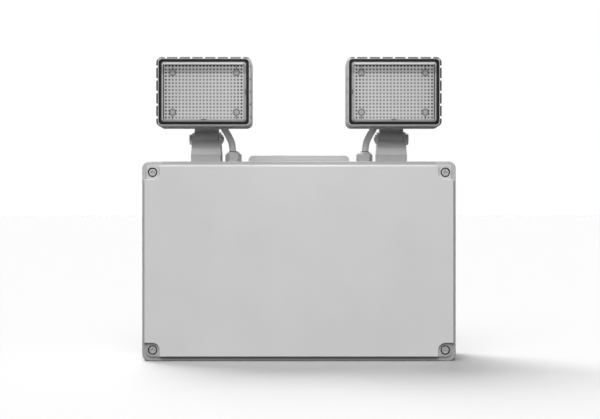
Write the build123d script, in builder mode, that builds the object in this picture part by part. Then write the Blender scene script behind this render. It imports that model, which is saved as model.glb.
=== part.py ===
from build123d import *
import math
import os

# Twin-head emergency light: a flat wall box with two lamp heads on arms that tilt and turn.
# The origin is the middle of the box underside, +Z is up, and the cover faces -Y.

os.makedirs("parts", exist_ok=True)

# Box, in millimetres
box_width = 300.0
box_height = 191.0
box_depth = 90.0
box_wall = 4.0
outline_radius = 6.5
back_edge_radius = 3.0
cavity_radius = 4.0
pillar_reach = 6.5

# Front cover: a flange, a step at each corner and a raised panel
cover_depth = 14.0
cover_skin = 3.5
panel_rise = 4.0
panel_side_margin = 2.3
panel_end_margin = 4.25
panel_edge_radius = 1.2
notch_radius = 6.8
notch_lip_radius = 1.0
step_rise = 1.5
step_side_margin = 4.2
step_end_margin = 4.3
step_radius = 5.0
flange_edge_radius = 1.4
lip_thickness = 1.5
lip_length = 2.0
lip_gap = 0.4

# Seal between box and cover
seal_width = 2.0
seal_depth = 1.5
seal_inset = 1.0

# Cover screws
cover_screw_inset_x = 10.0
cover_screw_inset_z = 10.5
cover_screw_radius = 2.0
cover_screw_length = 22.0
cover_screw_head_radius = 3.5
cover_screw_head_height = 2.6
counterbore_radius = 4.6
counterbore_depth = 3.6
screw_hole_gap = 0.25
thread_gap = 0.05
recess_width = 1.1
recess_share = 1.2
recess_depth = 1.3
head_edge = 0.5

# Raised pad on the top of the box, with two cable entries
pad_inset = 101.0
pad_height = 6.3
pad_depth = 40.0
pad_corner_radius = 4.5
entry_radius = 10.25
entry_spacing = 50.0
plug_flange_radius = 12.5
plug_flange_height = 1.8
plug_flange_sink = 1.2
plug_length = 9.0
plug_gap = 0.1

# Holes for fixing the box to a wall
fixing_spacing_x = 250.0
fixing_spacing_z = 125.0
fixing_radius = 2.75
fixing_boss_radius = 7.0
fixing_boss_height = 2.0

# Gear tray of bent sheet, on four standoffs
tray_width = 210.0
tray_height = 140.0
tray_thickness = 1.2
tray_flange = 12.0
tray_bend_radius = 2.0
standoff_height = 8.0
standoff_radius = 4.5
standoff_spacing_x = 190.0
standoff_spacing_z = 118.0
tray_screw_length = 8.0
tray_screw_head_height = 2.2

# Battery block and its strap
battery_width = 101.0
battery_height = 70.0
battery_depth = 47.0
battery_x = -40.0
battery_edge_radius = 1.5
battery_lid_height = 8.0
battery_groove = 0.6
tab_width = 6.3
tab_thickness = 0.8
tab_height = 5.0
tab_spacing = 60.0
strap_height = 16.0
strap_thickness = 1.0
strap_foot = 12.0
strap_screw_inset = 5.5

# Control board and what it carries
board_width = 74.0
board_height = 100.0
board_thickness = 1.6
board_x = 65.0
board_bottom_z = 40.0
spacer_height = 8.0
spacer_radius = 3.0
spacer_inset = 4.0
spacer_pin_radius = 1.5
transformer_width = 42.0
transformer_height = 36.0
transformer_depth = 20.0
transformer_coil_width = 28.0
transformer_coil_depth = 32.0
capacitor_radius = 6.5
capacitor_length = 21.0
capacitor_spacing = 17.0
relay_width = 19.0
relay_height = 15.5
relay_depth = 15.0
output_width = 40.0
output_height = 10.0
output_depth = 11.0
output_x = 50.0
output_drop = 7.0
output_spacing = 20.0
output_bore_depth = 4.0
terminal_width = 46.0
terminal_height = 17.0
terminal_depth = 18.0
terminal_x = -5.0
terminal_ways = 4
terminal_hole_radius = 2.0

# Test button and charge indicator on the right side wall
button_y = 5.0
button_z = 58.0
button_radius = 5.0
button_travel = 1.5
button_proud = 2.0
button_length = 10.0
button_gap = 0.1
bezel_radius = 9.0
bezel_thickness = 2.5
bush_radius = 6.0
bush_length = 22.0
bush_gap = 0.1
button_nut_flats = 17.0
button_nut_thickness = 3.0
indicator_z = 82.0
indicator_radius = 3.9
indicator_flange_radius = 5.0
indicator_flange = 1.5
indicator_dome = 2.4
indicator_length = 14.0

# Arms: the foot on the box and the forked arm that turns on it
arm_inset = 59.3
post_width = 29.4
post_depth = 30.0
post_edge_radius = 1.3
foot_gasket_thickness = 1.0
foot_height = 6.3
foot_screw_radius = 1.75
foot_screw_offset = 10.2
foot_screw_head_radius = 3.1
foot_screw_head_height = 2.0
foot_screw_grip = 5.0
swivel_gap = 0.15
spigot_radius = 6.0
spigot_length = 23.0
spigot_gap = 0.05
swivel_nut_flats = 19.0
swivel_nut_thickness = 6.0
swivel_nut_gap = 0.2
crease_height = 6.2
tilt_height = 23.3
ear_radius = 7.0
ear_width = 28.2
throat_radius = 10.5
lug_width = 23.3
lug_radius = 10.0
lug_web = 13.0
lug_side_gap = 0.3

# Tilt bolt and nut
bolt_radius = 2.5
bolt_gap = 0.05
bolt_head_radius = 5.8
bolt_head_height = 2.9
bolt_head_edge = 1.2
bolt_socket_depth = 1.6
bolt_socket_radius = 1.6
bolt_tip = 1.0
nut_flats = 8.4
nut_thickness = 2.7
nut_sink = 1.0

# Lamp head
head_z = 257.1
head_width = 90.8
head_height = 66.7
head_radius = 5.5
head_lip_y = -47.0
head_back_y = 6.5
rim_depth = 3.5
rim_edge_radius = 1.4
slot_pitch = 12.1
slot_width = 2.5
slot_depth = 1.6
neck_depth = 18.0
band_depth = 13.5
tail_inset = 1.0
tail_draw_x = 14.4
tail_draw_z = 12.35
fin_thickness = 2.5
fin_count = 7
fin_drop = 8.0
rebate_depth = 3.5
rebate_wall = 2.35
rebate_wall_low = 2.1
rebate_radius = 3.3
head_wall_x = 5.9
head_wall_z = 5.65
head_cavity_depth = 29.5
pocket_step_x = 9.5
pocket_step_z = 9.7
rear_pocket_depth = 13.0

# Lens, gasket, reflector and lamp board in the head
lens_flange_thickness = 2.0
lens_flange_gap = 0.4
gasket_width = 2.1
gasket_height = 2.15
lens_block_radius = 3.0
lens_wall_depth = 0.9
lens_slope_depth = 1.8
lens_slope_width = 3.0
lens_skin = 2.2
lens_wall = 2.4
prism_pitch = 3.27
prism_height = 0.8
prism_root = 0.3
lens_mark_length = 5.0
lens_mark_width = 0.7
lens_mark_depth = 1.0
gasket_recess = 0.4
reflector_gap = 0.5
reflector_depth = 9.0
reflector_wall = 1.2
reflector_slope_x = 9.5
reflector_slope_z = 8.7
reflector_screw_gap = 0.65
board_margin_x = 4.0
board_margin_z = 3.5
lamp_board_thickness = 1.6
lamp_screw_inset = 3.1
lamp_screw_radius = 1.5
lamp_screw_length = 9.0
lamp_screw_head_radius = 3.35
lamp_screw_head_height = 2.0
post_radius = 3.6
lamp_pitch = 13.08
lamp_row_pitch = 9.81
lamp_rows = 3
lamp_size = 4.0
lamp_thickness = 0.9
lamp_dome_radius = 1.5

# Lead from the box to the head, its gland and its bush
lead_radius = 3.25
lead_gap = 0.1
lead_turn_share = 0.45
lead_drop = 27.0
lead_straight = 14.5
gland_reach = 27.1
gland_y = -20.0
gland_thread_radius = 6.0
gland_thread_length = 12.0
gland_hole_gap = 0.1
gland_flats = 13.8
gland_turn = 7.0
gland_flange_height = 2.6
gland_nut_height = 7.2
gland_neck_radius = 5.2
gland_neck_height = 2.0
gland_dome_radius = 4.7
gland_dome_height = 4.8
gland_seal_thickness = 1.2
gland_seal_proud = 0.5
gland_locknut_flats = 17.0
gland_locknut_thickness = 3.5
bush_reach = 17.9
bush_y = -32.0
bush_flange_radius = 5.4
bush_flange_height = 2.9
bush_shift = 1.0
bush_stem_radius = 4.4
bush_stem_length = 5.0
bush_stem_gap = 0.05

# Places worked out from the sizes
mid_z = box_height / 2
front_y = -box_depth / 2
back_y = box_depth / 2
seam_y = front_y + cover_depth
flange_y = front_y + panel_rise
step_y = flange_y - step_rise
cover_seat_y = step_y + counterbore_depth
pad_width = box_width - 2 * pad_inset
arm_x = box_width / 2 - arm_inset
gland_x = arm_x - gland_reach
bush_x = arm_x - bush_reach
cover_screw_x = box_width / 2 - cover_screw_inset_x
cover_screw_dz = box_height / 2 - cover_screw_inset_z
inner_back_y = back_y - box_wall
ceiling_z = box_height - box_wall
tray_back_y = inner_back_y - standoff_height
tray_front_y = tray_back_y - tray_thickness
board_back_y = tray_front_y - spacer_height
board_front_y = board_back_y - board_thickness
foot_top_z = box_height + foot_gasket_thickness + foot_height
arm_seat_z = foot_top_z + swivel_gap
tilt_z = box_height + tilt_height
rim_back_y = head_lip_y + rim_depth
band_front_y = rim_back_y + neck_depth
band_back_y = band_front_y + band_depth
lens_seat_y = head_lip_y + rebate_depth
lens_shelf_y = lens_seat_y - lens_flange_thickness
gasket_front_y = head_lip_y + gasket_recess
lens_shoulder_y = lens_shelf_y - lens_wall_depth
lens_front_y = lens_shoulder_y - lens_slope_depth
lens_inner_y = lens_front_y + lens_skin
head_floor_y = lens_seat_y + head_cavity_depth
lamp_board_front_y = lens_seat_y + reflector_depth
lamp_board_back_y = lamp_board_front_y + lamp_board_thickness
tail_width = head_width - 2 * tail_draw_x
tail_height = head_height - 2 * tail_draw_z
head_cavity_width = head_width - 2 * head_wall_x
head_cavity_height = head_height - 2 * head_wall_z
rear_pocket_width = head_cavity_width - 2 * pocket_step_x
rear_pocket_height = head_cavity_height - 2 * pocket_step_z
lens_block_width = head_width - 2 * rebate_wall - 2 * gasket_width
lens_block_height = head_height - 2 * rebate_wall_low - 2 * gasket_height
prism_columns = int((lens_block_width - 2 * lens_wall) / prism_pitch)
prism_rows = int((lens_block_height - 2 * lens_wall) / prism_pitch)
reflector_rim_width = head_cavity_width - 2 * reflector_gap
reflector_rim_height = head_cavity_height - 2 * reflector_gap
reflector_floor_width = reflector_rim_width - 2 * reflector_slope_x
reflector_floor_height = reflector_rim_height - 2 * reflector_slope_z
lamp_board_width = reflector_floor_width + 2 * board_margin_x
lamp_board_height = reflector_floor_height + 2 * board_margin_z
lamp_screw_spacing_x = lamp_board_width - 2 * lamp_screw_inset
lamp_screw_spacing_z = lamp_board_height - 2 * lamp_screw_inset
lamp_columns = int((reflector_floor_width - lamp_size) / lamp_pitch) + 1
neck_width = head_width - 2 * slot_depth
neck_height = head_height - 2 * slot_depth
neck_bottom_z = head_z - neck_height / 2
right_x = box_width / 2
into_box = (0, 1, 0)
out_of_box = (0, -1, 0)


def facing(y):
    """The upright plane at depth y, seen from the front: across is X, up is Z."""
    return Plane.XZ.offset(-y)


def box_outline(y, inset=0.0, radius=outline_radius):
    """The rounded outline of the box at depth y, drawn in by an inset on every side."""
    with BuildSketch(facing(y)) as outline:
        with Locations((0, mid_z)):
            RectangleRounded(box_width - 2 * inset, box_height - 2 * inset, radius)
    return outline.sketch


def cavity_outline(y, grow=0.0):
    """The hollow of the box: a rectangle that leaves a pillar standing in each corner."""
    with BuildSketch(facing(y)) as hollow:
        with Locations((0, mid_z)):
            Rectangle(box_width - 2 * box_wall, box_height - 2 * box_wall)
            with GridLocations(box_width, box_height, 2, 2):
                Rectangle(
                    2 * (cover_screw_inset_x + pillar_reach),
                    2 * (cover_screw_inset_z + pillar_reach),
                    mode=Mode.SUBTRACT,
                )
        fillet(hollow.vertices(), cavity_radius)
        if grow != 0.0:
            offset(amount=grow)
    return hollow.sketch


def circles(plane_y, centre, spacing, radius):
    """Four circles at the corners of a rectangle, on the upright plane at a depth."""
    with BuildSketch(facing(plane_y)) as four:
        with Locations(centre):
            with GridLocations(spacing[0], spacing[1], 2, 2):
                Circle(radius)
    return four.sketch


def crosses(plane_y, centre, spacing, length, width):
    """Four cross-shaped driver recesses at the corners of a rectangle."""
    with BuildSketch(facing(plane_y)) as four:
        with Locations(centre):
            with GridLocations(spacing[0], spacing[1], 2, 2):
                Rectangle(length, width)
                Rectangle(width, length)
    return four.sketch


cover_screw_spacing = (2 * cover_screw_x, 2 * cover_screw_dz)
fixing_spacing = (fixing_spacing_x, fixing_spacing_z)
standoff_spacing = (standoff_spacing_x, standoff_spacing_z)
post_spacing = (lamp_screw_spacing_x, lamp_screw_spacing_z)
box_middle = (0, mid_z)
seal_ring = cavity_outline(seam_y, seal_inset + seal_width) - cavity_outline(seam_y, seal_inset)

# Box: the deep back part, moulded in one piece with its pad, pillars and standoffs
with BuildPart() as box_back:
    extrude(box_outline(seam_y), amount=back_y - seam_y, dir=into_box)
    fillet(box_back.faces().sort_by(Axis.Y)[-1].edges(), back_edge_radius)
    with BuildSketch(facing(-pad_depth / 2)) as pad_front:
        with Locations((0, box_height + pad_height / 2 - box_wall / 2)):
            Rectangle(pad_width, pad_height + box_wall)
        fillet(pad_front.vertices().group_by(Axis.Y)[-1], pad_corner_radius)
    extrude(amount=-pad_depth)
    extrude(
        cavity_outline(seam_y), amount=inner_back_y - seam_y, dir=into_box, mode=Mode.SUBTRACT
    )
    with BuildSketch(Plane.XY.offset(ceiling_z)):
        Rectangle(pad_width - 2 * box_wall, pad_depth - 2 * box_wall)
    extrude(amount=pad_height, mode=Mode.SUBTRACT)
    extrude(
        circles(inner_back_y, box_middle, fixing_spacing, fixing_boss_radius),
        amount=fixing_boss_height,
        dir=out_of_box,
    )
    extrude(
        circles(inner_back_y, box_middle, standoff_spacing, standoff_radius),
        amount=standoff_height,
        dir=out_of_box,
    )
    extrude(
        circles(back_y, box_middle, fixing_spacing, fixing_radius),
        amount=box_wall + fixing_boss_height,
        dir=out_of_box,
        mode=Mode.SUBTRACT,
    )
    extrude(
        circles(tray_back_y, box_middle, standoff_spacing, cover_screw_radius + thread_gap),
        amount=tray_screw_length,
        dir=into_box,
        mode=Mode.SUBTRACT,
    )
    extrude(
        circles(seam_y, box_middle, cover_screw_spacing, cover_screw_radius + thread_gap),
        amount=cover_screw_length,
        dir=into_box,
        mode=Mode.SUBTRACT,
    )
    extrude(seal_ring, amount=seal_depth, dir=into_box, mode=Mode.SUBTRACT)
    with BuildSketch(Plane.XY.offset(box_height)):
        for side in (-1, 1):
            with Locations((side * arm_x, 0)):
                Circle(spigot_radius + screw_hole_gap)
                for corner in (-1, 1):
                    with Locations((side * corner * foot_screw_offset, corner * foot_screw_offset)):
                        Circle(foot_screw_radius + screw_hole_gap)
            with Locations((side * gland_x, gland_y)):
                Circle(gland_thread_radius + gland_hole_gap)
    extrude(amount=-box_wall, mode=Mode.SUBTRACT)
    with BuildSketch(Plane.XY.offset(box_height + pad_height)):
        with GridLocations(entry_spacing, 0, 2, 1):
            Circle(entry_radius)
    extrude(amount=-box_wall - pad_height, mode=Mode.SUBTRACT)
    with BuildSketch(Plane.XY.offset(box_height + pad_height)):
        with Locations((-entry_spacing / 2, 0)):
            Circle(plug_flange_radius + plug_gap)
    extrude(amount=-plug_flange_sink, mode=Mode.SUBTRACT)
    with BuildSketch(Plane.YZ.offset(right_x)):
        with Locations((button_y, button_z)):
            Circle(bush_radius + bush_gap)
        with Locations((button_y, indicator_z)):
            Circle(indicator_radius + bush_gap)
    extrude(amount=-box_wall, mode=Mode.SUBTRACT)
box_back.part.label = "box_back"
export_step(box_back.part, "parts/box_back.step")

# Cover: flange, corner steps and raised panel, hollow behind, with a lip that enters the box
with BuildPart() as front_cover:
    extrude(box_outline(seam_y), amount=seam_y - flange_y, dir=out_of_box)
    chamfer(front_cover.faces().sort_by(Axis.Y)[0].edges(), flange_edge_radius / 2)
    with BuildSketch(facing(flange_y)):
        with Locations(box_middle):
            RectangleRounded(
                box_width - 2 * step_side_margin, box_height - 2 * step_end_margin, step_radius
            )
    extrude(amount=step_rise)
    with BuildSketch(facing(step_y + step_rise)) as panel:
        with Locations(box_middle):
            Rectangle(box_width - 2 * panel_side_margin, box_height - 2 * panel_end_margin)
            with GridLocations(2 * cover_screw_x, 2 * cover_screw_dz, 2, 2):
                Circle(notch_radius, mode=Mode.SUBTRACT)
            with GridLocations(box_width, box_height, 2, 2):
                Rectangle(
                    2 * cover_screw_inset_x,
                    2 * (cover_screw_inset_z + notch_radius),
                    mode=Mode.SUBTRACT,
                )
                Rectangle(
                    2 * (cover_screw_inset_x + notch_radius),
                    2 * cover_screw_inset_z,
                    mode=Mode.SUBTRACT,
                )
        panel_half = box_width / 2 - panel_side_margin
        panel_top = box_height - panel_end_margin
        lips = panel.vertices().filter_by(
            lambda v: abs(v.X) > panel_half - 0.1 or abs(v.Y - mid_z) > panel_top - mid_z - 0.1
        )
        fillet(lips, notch_lip_radius)
    extrude(amount=panel_rise)
    chamfer(front_cover.faces().sort_by(Axis.Y)[0].edges(), panel_edge_radius / 2)
    extrude(cavity_outline(seam_y, -lip_gap), amount=lip_length, dir=into_box)
    extrude(
        cavity_outline(seam_y + lip_length, -lip_gap - lip_thickness),
        amount=lip_length + cover_depth - cover_skin,
        dir=out_of_box,
        mode=Mode.SUBTRACT,
    )
    extrude(
        circles(step_y, box_middle, cover_screw_spacing, counterbore_radius),
        amount=counterbore_depth,
        dir=into_box,
        mode=Mode.SUBTRACT,
    )
    extrude(
        circles(step_y, box_middle, cover_screw_spacing, cover_screw_radius + screw_hole_gap),
        amount=cover_depth,
        dir=into_box,
        mode=Mode.SUBTRACT,
    )
front_cover.part.label = "front_cover"
export_step(front_cover.part, "parts/front_cover.step")

# Seal: a flat ring that fills the groove in the rim of the box
with BuildPart() as cover_seal:
    extrude(seal_ring, amount=seal_depth, dir=into_box)
cover_seal.part.label = "cover_seal"
export_step(cover_seal.part, "parts/cover_seal.step")

# Cover screws: four screws with a cross recess, seated in the counterbores
with BuildPart() as cover_screws:
    extrude(
        circles(cover_seat_y, box_middle, cover_screw_spacing, cover_screw_head_radius),
        amount=cover_screw_head_height,
        dir=out_of_box,
    )
    fillet(cover_screws.faces().sort_by(Axis.Y)[:4].edges(), head_edge)
    extrude(
        circles(cover_seat_y, box_middle, cover_screw_spacing, cover_screw_radius),
        amount=cover_screw_length - 1.0 + seam_y - cover_seat_y,
        dir=into_box,
    )
    extrude(
        crosses(
            cover_seat_y - cover_screw_head_height,
            box_middle,
            cover_screw_spacing,
            recess_share * cover_screw_head_radius,
            recess_width,
        ),
        amount=recess_depth,
        dir=into_box,
        mode=Mode.SUBTRACT,
    )
cover_screws.part.label = "cover_screws"
export_step(cover_screws.part, "parts/cover_screws.step")

# Blanking plug: closes the left cable entry from above
with BuildPart() as blanking_plug:
    plug_seat_z = box_height + pad_height - plug_flange_sink
    with BuildSketch(Plane.XY.offset(plug_seat_z)):
        with Locations((-entry_spacing / 2, 0)):
            Circle(plug_flange_radius)
    extrude(amount=plug_flange_height)
    with BuildSketch(Plane.XY.offset(plug_seat_z)):
        with Locations((-entry_spacing / 2, 0)):
            Circle(entry_radius - plug_gap)
    extrude(amount=-plug_length)
    fillet(blanking_plug.faces().sort_by(Axis.Z)[-1].edges(), head_edge)
blanking_plug.part.label = "blanking_plug"
export_step(blanking_plug.part, "parts/blanking_plug.step")

# Battery: a sealed block with a lid line and two flat tabs, standing on the tray's lower flange
battery_back_y = tray_front_y
battery_front_y = battery_back_y - battery_depth
battery_mid_y = (battery_front_y + battery_back_y) / 2
battery_bottom_z = mid_z - tray_height / 2 + tray_thickness
battery_top_z = battery_bottom_z + battery_height
battery_mid_z = battery_bottom_z + battery_height / 2
with BuildPart() as battery:
    with BuildSketch(Plane.XY.offset(battery_bottom_z)):
        with Locations((battery_x, battery_mid_y)):
            Rectangle(battery_width, battery_depth)
    extrude(amount=battery_height)
    fillet(battery.edges(), battery_edge_radius)
    with BuildSketch(Plane.XY.offset(battery_top_z - battery_lid_height)):
        with Locations((battery_x, battery_mid_y)):
            Rectangle(battery_width, battery_depth)
            Rectangle(
                battery_width - 2 * battery_groove,
                battery_depth - 2 * battery_groove,
                mode=Mode.SUBTRACT,
            )
    extrude(amount=battery_groove, mode=Mode.SUBTRACT)
    with BuildSketch(Plane.XY.offset(battery_top_z)):
        with Locations((battery_x, battery_mid_y)):
            with GridLocations(tab_spacing, 0, 2, 1):
                Rectangle(tab_width, tab_thickness)
    extrude(amount=tab_height)
battery.part.label = "battery"
export_step(battery.part, "parts/battery.step")

# Battery strap: a bent strip over the front of the battery, screwed to the tray at both feet
strap_half = battery_width / 2 + strap_thickness
strap_foot_y = tray_front_y - strap_thickness
strap_screw_spacing = 2 * (strap_half + strap_screw_inset)
with BuildPart() as battery_strap:
    with BuildSketch(Plane.XY.offset(battery_mid_z - strap_height / 2)):
        with Locations((battery_x, battery_mid_y - strap_thickness / 2)):
            Rectangle(2 * strap_half, battery_depth + strap_thickness)
        with Locations((battery_x, tray_front_y - strap_thickness / 2)):
            Rectangle(2 * (strap_half + strap_foot), strap_thickness)
        with Locations((battery_x, battery_mid_y)):
            Rectangle(battery_width, battery_depth, mode=Mode.SUBTRACT)
    extrude(amount=strap_height)
    with BuildSketch(facing(strap_foot_y)):
        with Locations((battery_x, battery_mid_z)):
            with GridLocations(strap_screw_spacing, 0, 2, 1):
                Circle(cover_screw_radius + screw_hole_gap)
    extrude(amount=-strap_thickness, mode=Mode.SUBTRACT)
battery_strap.part.label = "battery_strap"
export_step(battery_strap.part, "parts/battery_strap.step")

# Gear tray: a sheet with its top and bottom edges bent to the front
with BuildPart() as gear_tray:
    with BuildSketch(facing(tray_back_y)):
        with Locations(box_middle):
            Rectangle(tray_width, tray_height)
    extrude(amount=tray_thickness)
    with BuildSketch(facing(tray_back_y)):
        with Locations(box_middle):
            with GridLocations(0, tray_height - tray_thickness, 1, 2):
                Rectangle(tray_width, tray_thickness)
    extrude(amount=tray_flange)
    corner_edges = gear_tray.edges().filter_by(Axis.X)
    fillet(corner_edges.group_by(Axis.Y)[-1], tray_bend_radius)
    inner_edges = gear_tray.edges().filter_by(Axis.X).filter_by(
        lambda e: abs(e.center().Y - tray_front_y) < 0.01
        and abs(abs(e.center().Z - mid_z) - tray_height / 2 + tray_thickness) < 0.01
    )
    fillet(inner_edges, tray_bend_radius - tray_thickness)
    extrude(
        circles(tray_back_y, box_middle, standoff_spacing, cover_screw_radius + screw_hole_gap),
        amount=tray_thickness,
        dir=out_of_box,
        mode=Mode.SUBTRACT,
    )
    with BuildSketch(facing(tray_back_y)):
        with Locations((battery_x, battery_mid_z)):
            with GridLocations(strap_screw_spacing, 0, 2, 1):
                Circle(cover_screw_radius + thread_gap)
    extrude(amount=tray_thickness, mode=Mode.SUBTRACT)
gear_tray.part.label = "gear_tray"
export_step(gear_tray.part, "parts/gear_tray.step")

# Tray screws: six alike, four through the tray and two through the strap feet
screw_places = []
for x in (-standoff_spacing_x / 2, standoff_spacing_x / 2):
    for z in (mid_z - standoff_spacing_z / 2, mid_z + standoff_spacing_z / 2):
        screw_places.append((x, tray_front_y, z))
for x in (battery_x - strap_screw_spacing / 2, battery_x + strap_screw_spacing / 2):
    screw_places.append((x, strap_foot_y, battery_mid_z))
with BuildPart() as tray_screws:
    for x, seat_y, z in screw_places:
        with BuildSketch(facing(seat_y)):
            with Locations((x, z)):
                Circle(cover_screw_head_radius)
        extrude(amount=tray_screw_head_height)
        with BuildSketch(facing(seat_y)):
            with Locations((x, z)):
                Circle(cover_screw_radius)
        extrude(amount=-tray_screw_length)
        with BuildSketch(facing(seat_y - tray_screw_head_height)):
            with Locations((x, z)):
                Rectangle(recess_share * cover_screw_head_radius, recess_width)
                Rectangle(recess_width, recess_share * cover_screw_head_radius)
        extrude(amount=-recess_depth, mode=Mode.SUBTRACT)
tray_screws.part.label = "tray_screws"
export_step(tray_screws.part, "parts/tray_screws.step")

# Control board, with a hole at each corner for its spacers
board_mid = (board_x, board_bottom_z + board_height / 2)
board_top_z = board_bottom_z + board_height
spacer_spacing = (board_width - 2 * spacer_inset, board_height - 2 * spacer_inset)
with BuildPart() as control_board:
    with BuildSketch(facing(board_back_y)):
        with Locations(board_mid):
            Rectangle(board_width, board_height)
    extrude(amount=board_thickness)
    extrude(
        circles(board_back_y, board_mid, spacer_spacing, spacer_pin_radius + thread_gap),
        amount=board_thickness,
        dir=out_of_box,
        mode=Mode.SUBTRACT,
    )
control_board.part.label = "control_board"
export_step(control_board.part, "parts/control_board.step")

# Board spacers: four pillars with a pin and a snap head in front of the board
with BuildPart() as board_spacers:
    extrude(
        circles(tray_front_y, board_mid, spacer_spacing, spacer_radius),
        amount=spacer_height,
        dir=out_of_box,
    )
    extrude(
        circles(board_back_y, board_mid, spacer_spacing, spacer_pin_radius),
        amount=board_thickness,
        dir=out_of_box,
    )
    extrude(
        circles(board_front_y, board_mid, spacer_spacing, spacer_pin_radius + 0.6),
        amount=spacer_pin_radius,
        dir=out_of_box,
    )
board_spacers.part.label = "board_spacers"
export_step(board_spacers.part, "parts/board_spacers.step")

# Mains transformer: a stack of sheet with its coil standing out of it
transformer_place = (
    board_x + board_width / 2 - transformer_width / 2 - 2 * spacer_inset,
    board_bottom_z + transformer_height / 2 + 2 * spacer_inset,
)
with BuildPart() as mains_transformer:
    with BuildSketch(facing(board_front_y)):
        with Locations(transformer_place):
            Rectangle(transformer_width, transformer_height)
    extrude(amount=transformer_depth)
    with BuildSketch(facing(board_front_y)):
        with Locations(transformer_place):
            RectangleRounded(transformer_coil_width, transformer_height - 6.0, 3.0)
    extrude(amount=transformer_coil_depth)
mains_transformer.part.label = "mains_transformer"
export_step(mains_transformer.part, "parts/mains_transformer.step")

# Capacitors: two cans standing on the board
capacitor_x = transformer_place[0] - transformer_width / 2 - 2 * capacitor_radius
with BuildPart() as capacitors:
    with BuildSketch(facing(board_front_y)):
        with Locations((capacitor_x, transformer_place[1])):
            with GridLocations(0, capacitor_spacing, 1, 2):
                Circle(capacitor_radius)
    extrude(amount=capacitor_length)
    fillet(capacitors.faces().sort_by(Axis.Y)[:2].edges(), head_edge)
capacitors.part.label = "capacitors"
export_step(capacitors.part, "parts/capacitors.step")

# Relay: a sealed block above the transformer
with BuildPart() as relay:
    with BuildSketch(facing(board_front_y)):
        with Locations((transformer_place[0], transformer_place[1] + transformer_height)):
            Rectangle(relay_width, relay_height)
    extrude(amount=relay_depth)
    fillet(relay.edges().filter_by(Axis.Y), 1.0)
relay.part.label = "relay"
export_step(relay.part, "parts/relay.step")

# Output terminal: a block at the top of the board that takes the two head leads
output_top_z = board_top_z - output_drop
output_y = board_front_y - output_depth / 2
with BuildPart() as output_terminal:
    with BuildSketch(Plane.XY.offset(output_top_z - output_height)):
        with Locations((output_x, output_y)):
            Rectangle(output_width, output_depth)
    extrude(amount=output_height)
    with BuildSketch(Plane.XY.offset(output_top_z)):
        with Locations((output_x, output_y)):
            with GridLocations(output_spacing, 0, 2, 1):
                Circle(lead_radius + lead_gap)
    extrude(amount=-output_bore_depth, mode=Mode.SUBTRACT)
output_terminal.part.label = "output_terminal"
export_step(output_terminal.part, "parts/output_terminal.step")

# Terminal block: four ways for the supply cable, screwed down to the tray in its own recess
terminal_bottom_z = board_top_z
with BuildPart() as terminal_block:
    with BuildSketch(facing(tray_front_y)):
        with Locations((terminal_x, terminal_bottom_z + terminal_height / 2)):
            Rectangle(terminal_width, terminal_height)
    extrude(amount=terminal_depth)
    terminal_pitch = terminal_width / terminal_ways
    with BuildSketch(facing(tray_front_y - terminal_depth)):
        with Locations((terminal_x, terminal_bottom_z + terminal_height / 2)):
            with GridLocations(terminal_pitch, 0, terminal_ways, 1):
                Circle(terminal_hole_radius)
    extrude(amount=-terminal_depth / 2, mode=Mode.SUBTRACT)
    with BuildSketch(Plane.XY.offset(terminal_bottom_z + terminal_height)):
        with Locations((terminal_x, tray_front_y - terminal_depth / 3)):
            with GridLocations(terminal_pitch, 0, terminal_ways, 1):
                Circle(terminal_hole_radius)
    extrude(amount=-terminal_height / 2, mode=Mode.SUBTRACT)
terminal_block.part.label = "terminal_block"
export_step(terminal_block.part, "parts/terminal_block.step")

# Button housing: a bezel and a bush through the right side wall
button_plane = Plane.YZ.offset(right_x)
button_place = (button_y, button_z)
with BuildPart() as button_housing:
    with BuildSketch(button_plane):
        with Locations(button_place):
            Circle(bezel_radius)
    extrude(amount=bezel_thickness)
    fillet(button_housing.faces().sort_by(Axis.X)[-1].edges(), 1.0)
    with BuildSketch(button_plane):
        with Locations(button_place):
            Circle(bush_radius)
    extrude(amount=-bush_length)
    with BuildSketch(Plane.YZ.offset(right_x + bezel_thickness)):
        with Locations(button_place):
            Circle(button_radius + button_gap)
    extrude(amount=-button_length - button_travel, mode=Mode.SUBTRACT)
button_housing.part.label = "button_housing"
export_step(button_housing.part, "parts/button_housing.step")

# Button nut: holds the housing from inside the box
with BuildPart() as button_nut:
    with BuildSketch(Plane.YZ.offset(right_x - box_wall)):
        with Locations(button_place):
            RegularPolygon(button_nut_flats / 2, 6, major_radius=False)
            Circle(bush_radius + thread_gap, mode=Mode.SUBTRACT)
    extrude(amount=-button_nut_thickness)
button_nut.part.label = "button_nut"
export_step(button_nut.part, "parts/button_nut.step")

# Test button: a plain round cap that slides into its housing
with BuildPart() as test_button:
    with BuildSketch(Plane.YZ.offset(right_x + bezel_thickness + button_proud)):
        with Locations(button_place):
            Circle(button_radius)
    extrude(amount=-button_length - button_proud)
    fillet(test_button.faces().sort_by(Axis.X)[-1].edges(), 0.8)
test_button.part.label = "test_button"
export_step(test_button.part, "parts/test_button.step")

# Charge indicator: a small domed lamp in a flanged body
with BuildPart() as charge_indicator:
    with BuildSketch(button_plane):
        with Locations((button_y, indicator_z)):
            Circle(indicator_flange_radius)
    extrude(amount=indicator_flange)
    with BuildSketch(Plane.YZ.offset(right_x + indicator_flange)):
        with Locations((button_y, indicator_z)):
            Circle(indicator_radius - 0.6)
    extrude(amount=indicator_dome)
    fillet(charge_indicator.faces().sort_by(Axis.X)[-1].edges(), indicator_dome - 0.4)
    with BuildSketch(button_plane):
        with Locations((button_y, indicator_z)):
            Circle(indicator_radius)
    extrude(amount=-indicator_length)
charge_indicator.part.label = "charge_indicator"
export_step(charge_indicator.part, "parts/charge_indicator.step")


def plate(y, centre, width, height, radius):
    """A rounded rectangle on the upright plane at a depth, for the lamp head parts."""
    with BuildSketch(facing(y)) as face:
        with Locations(centre):
            RectangleRounded(width, height, radius)
    return face.sketch


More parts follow.
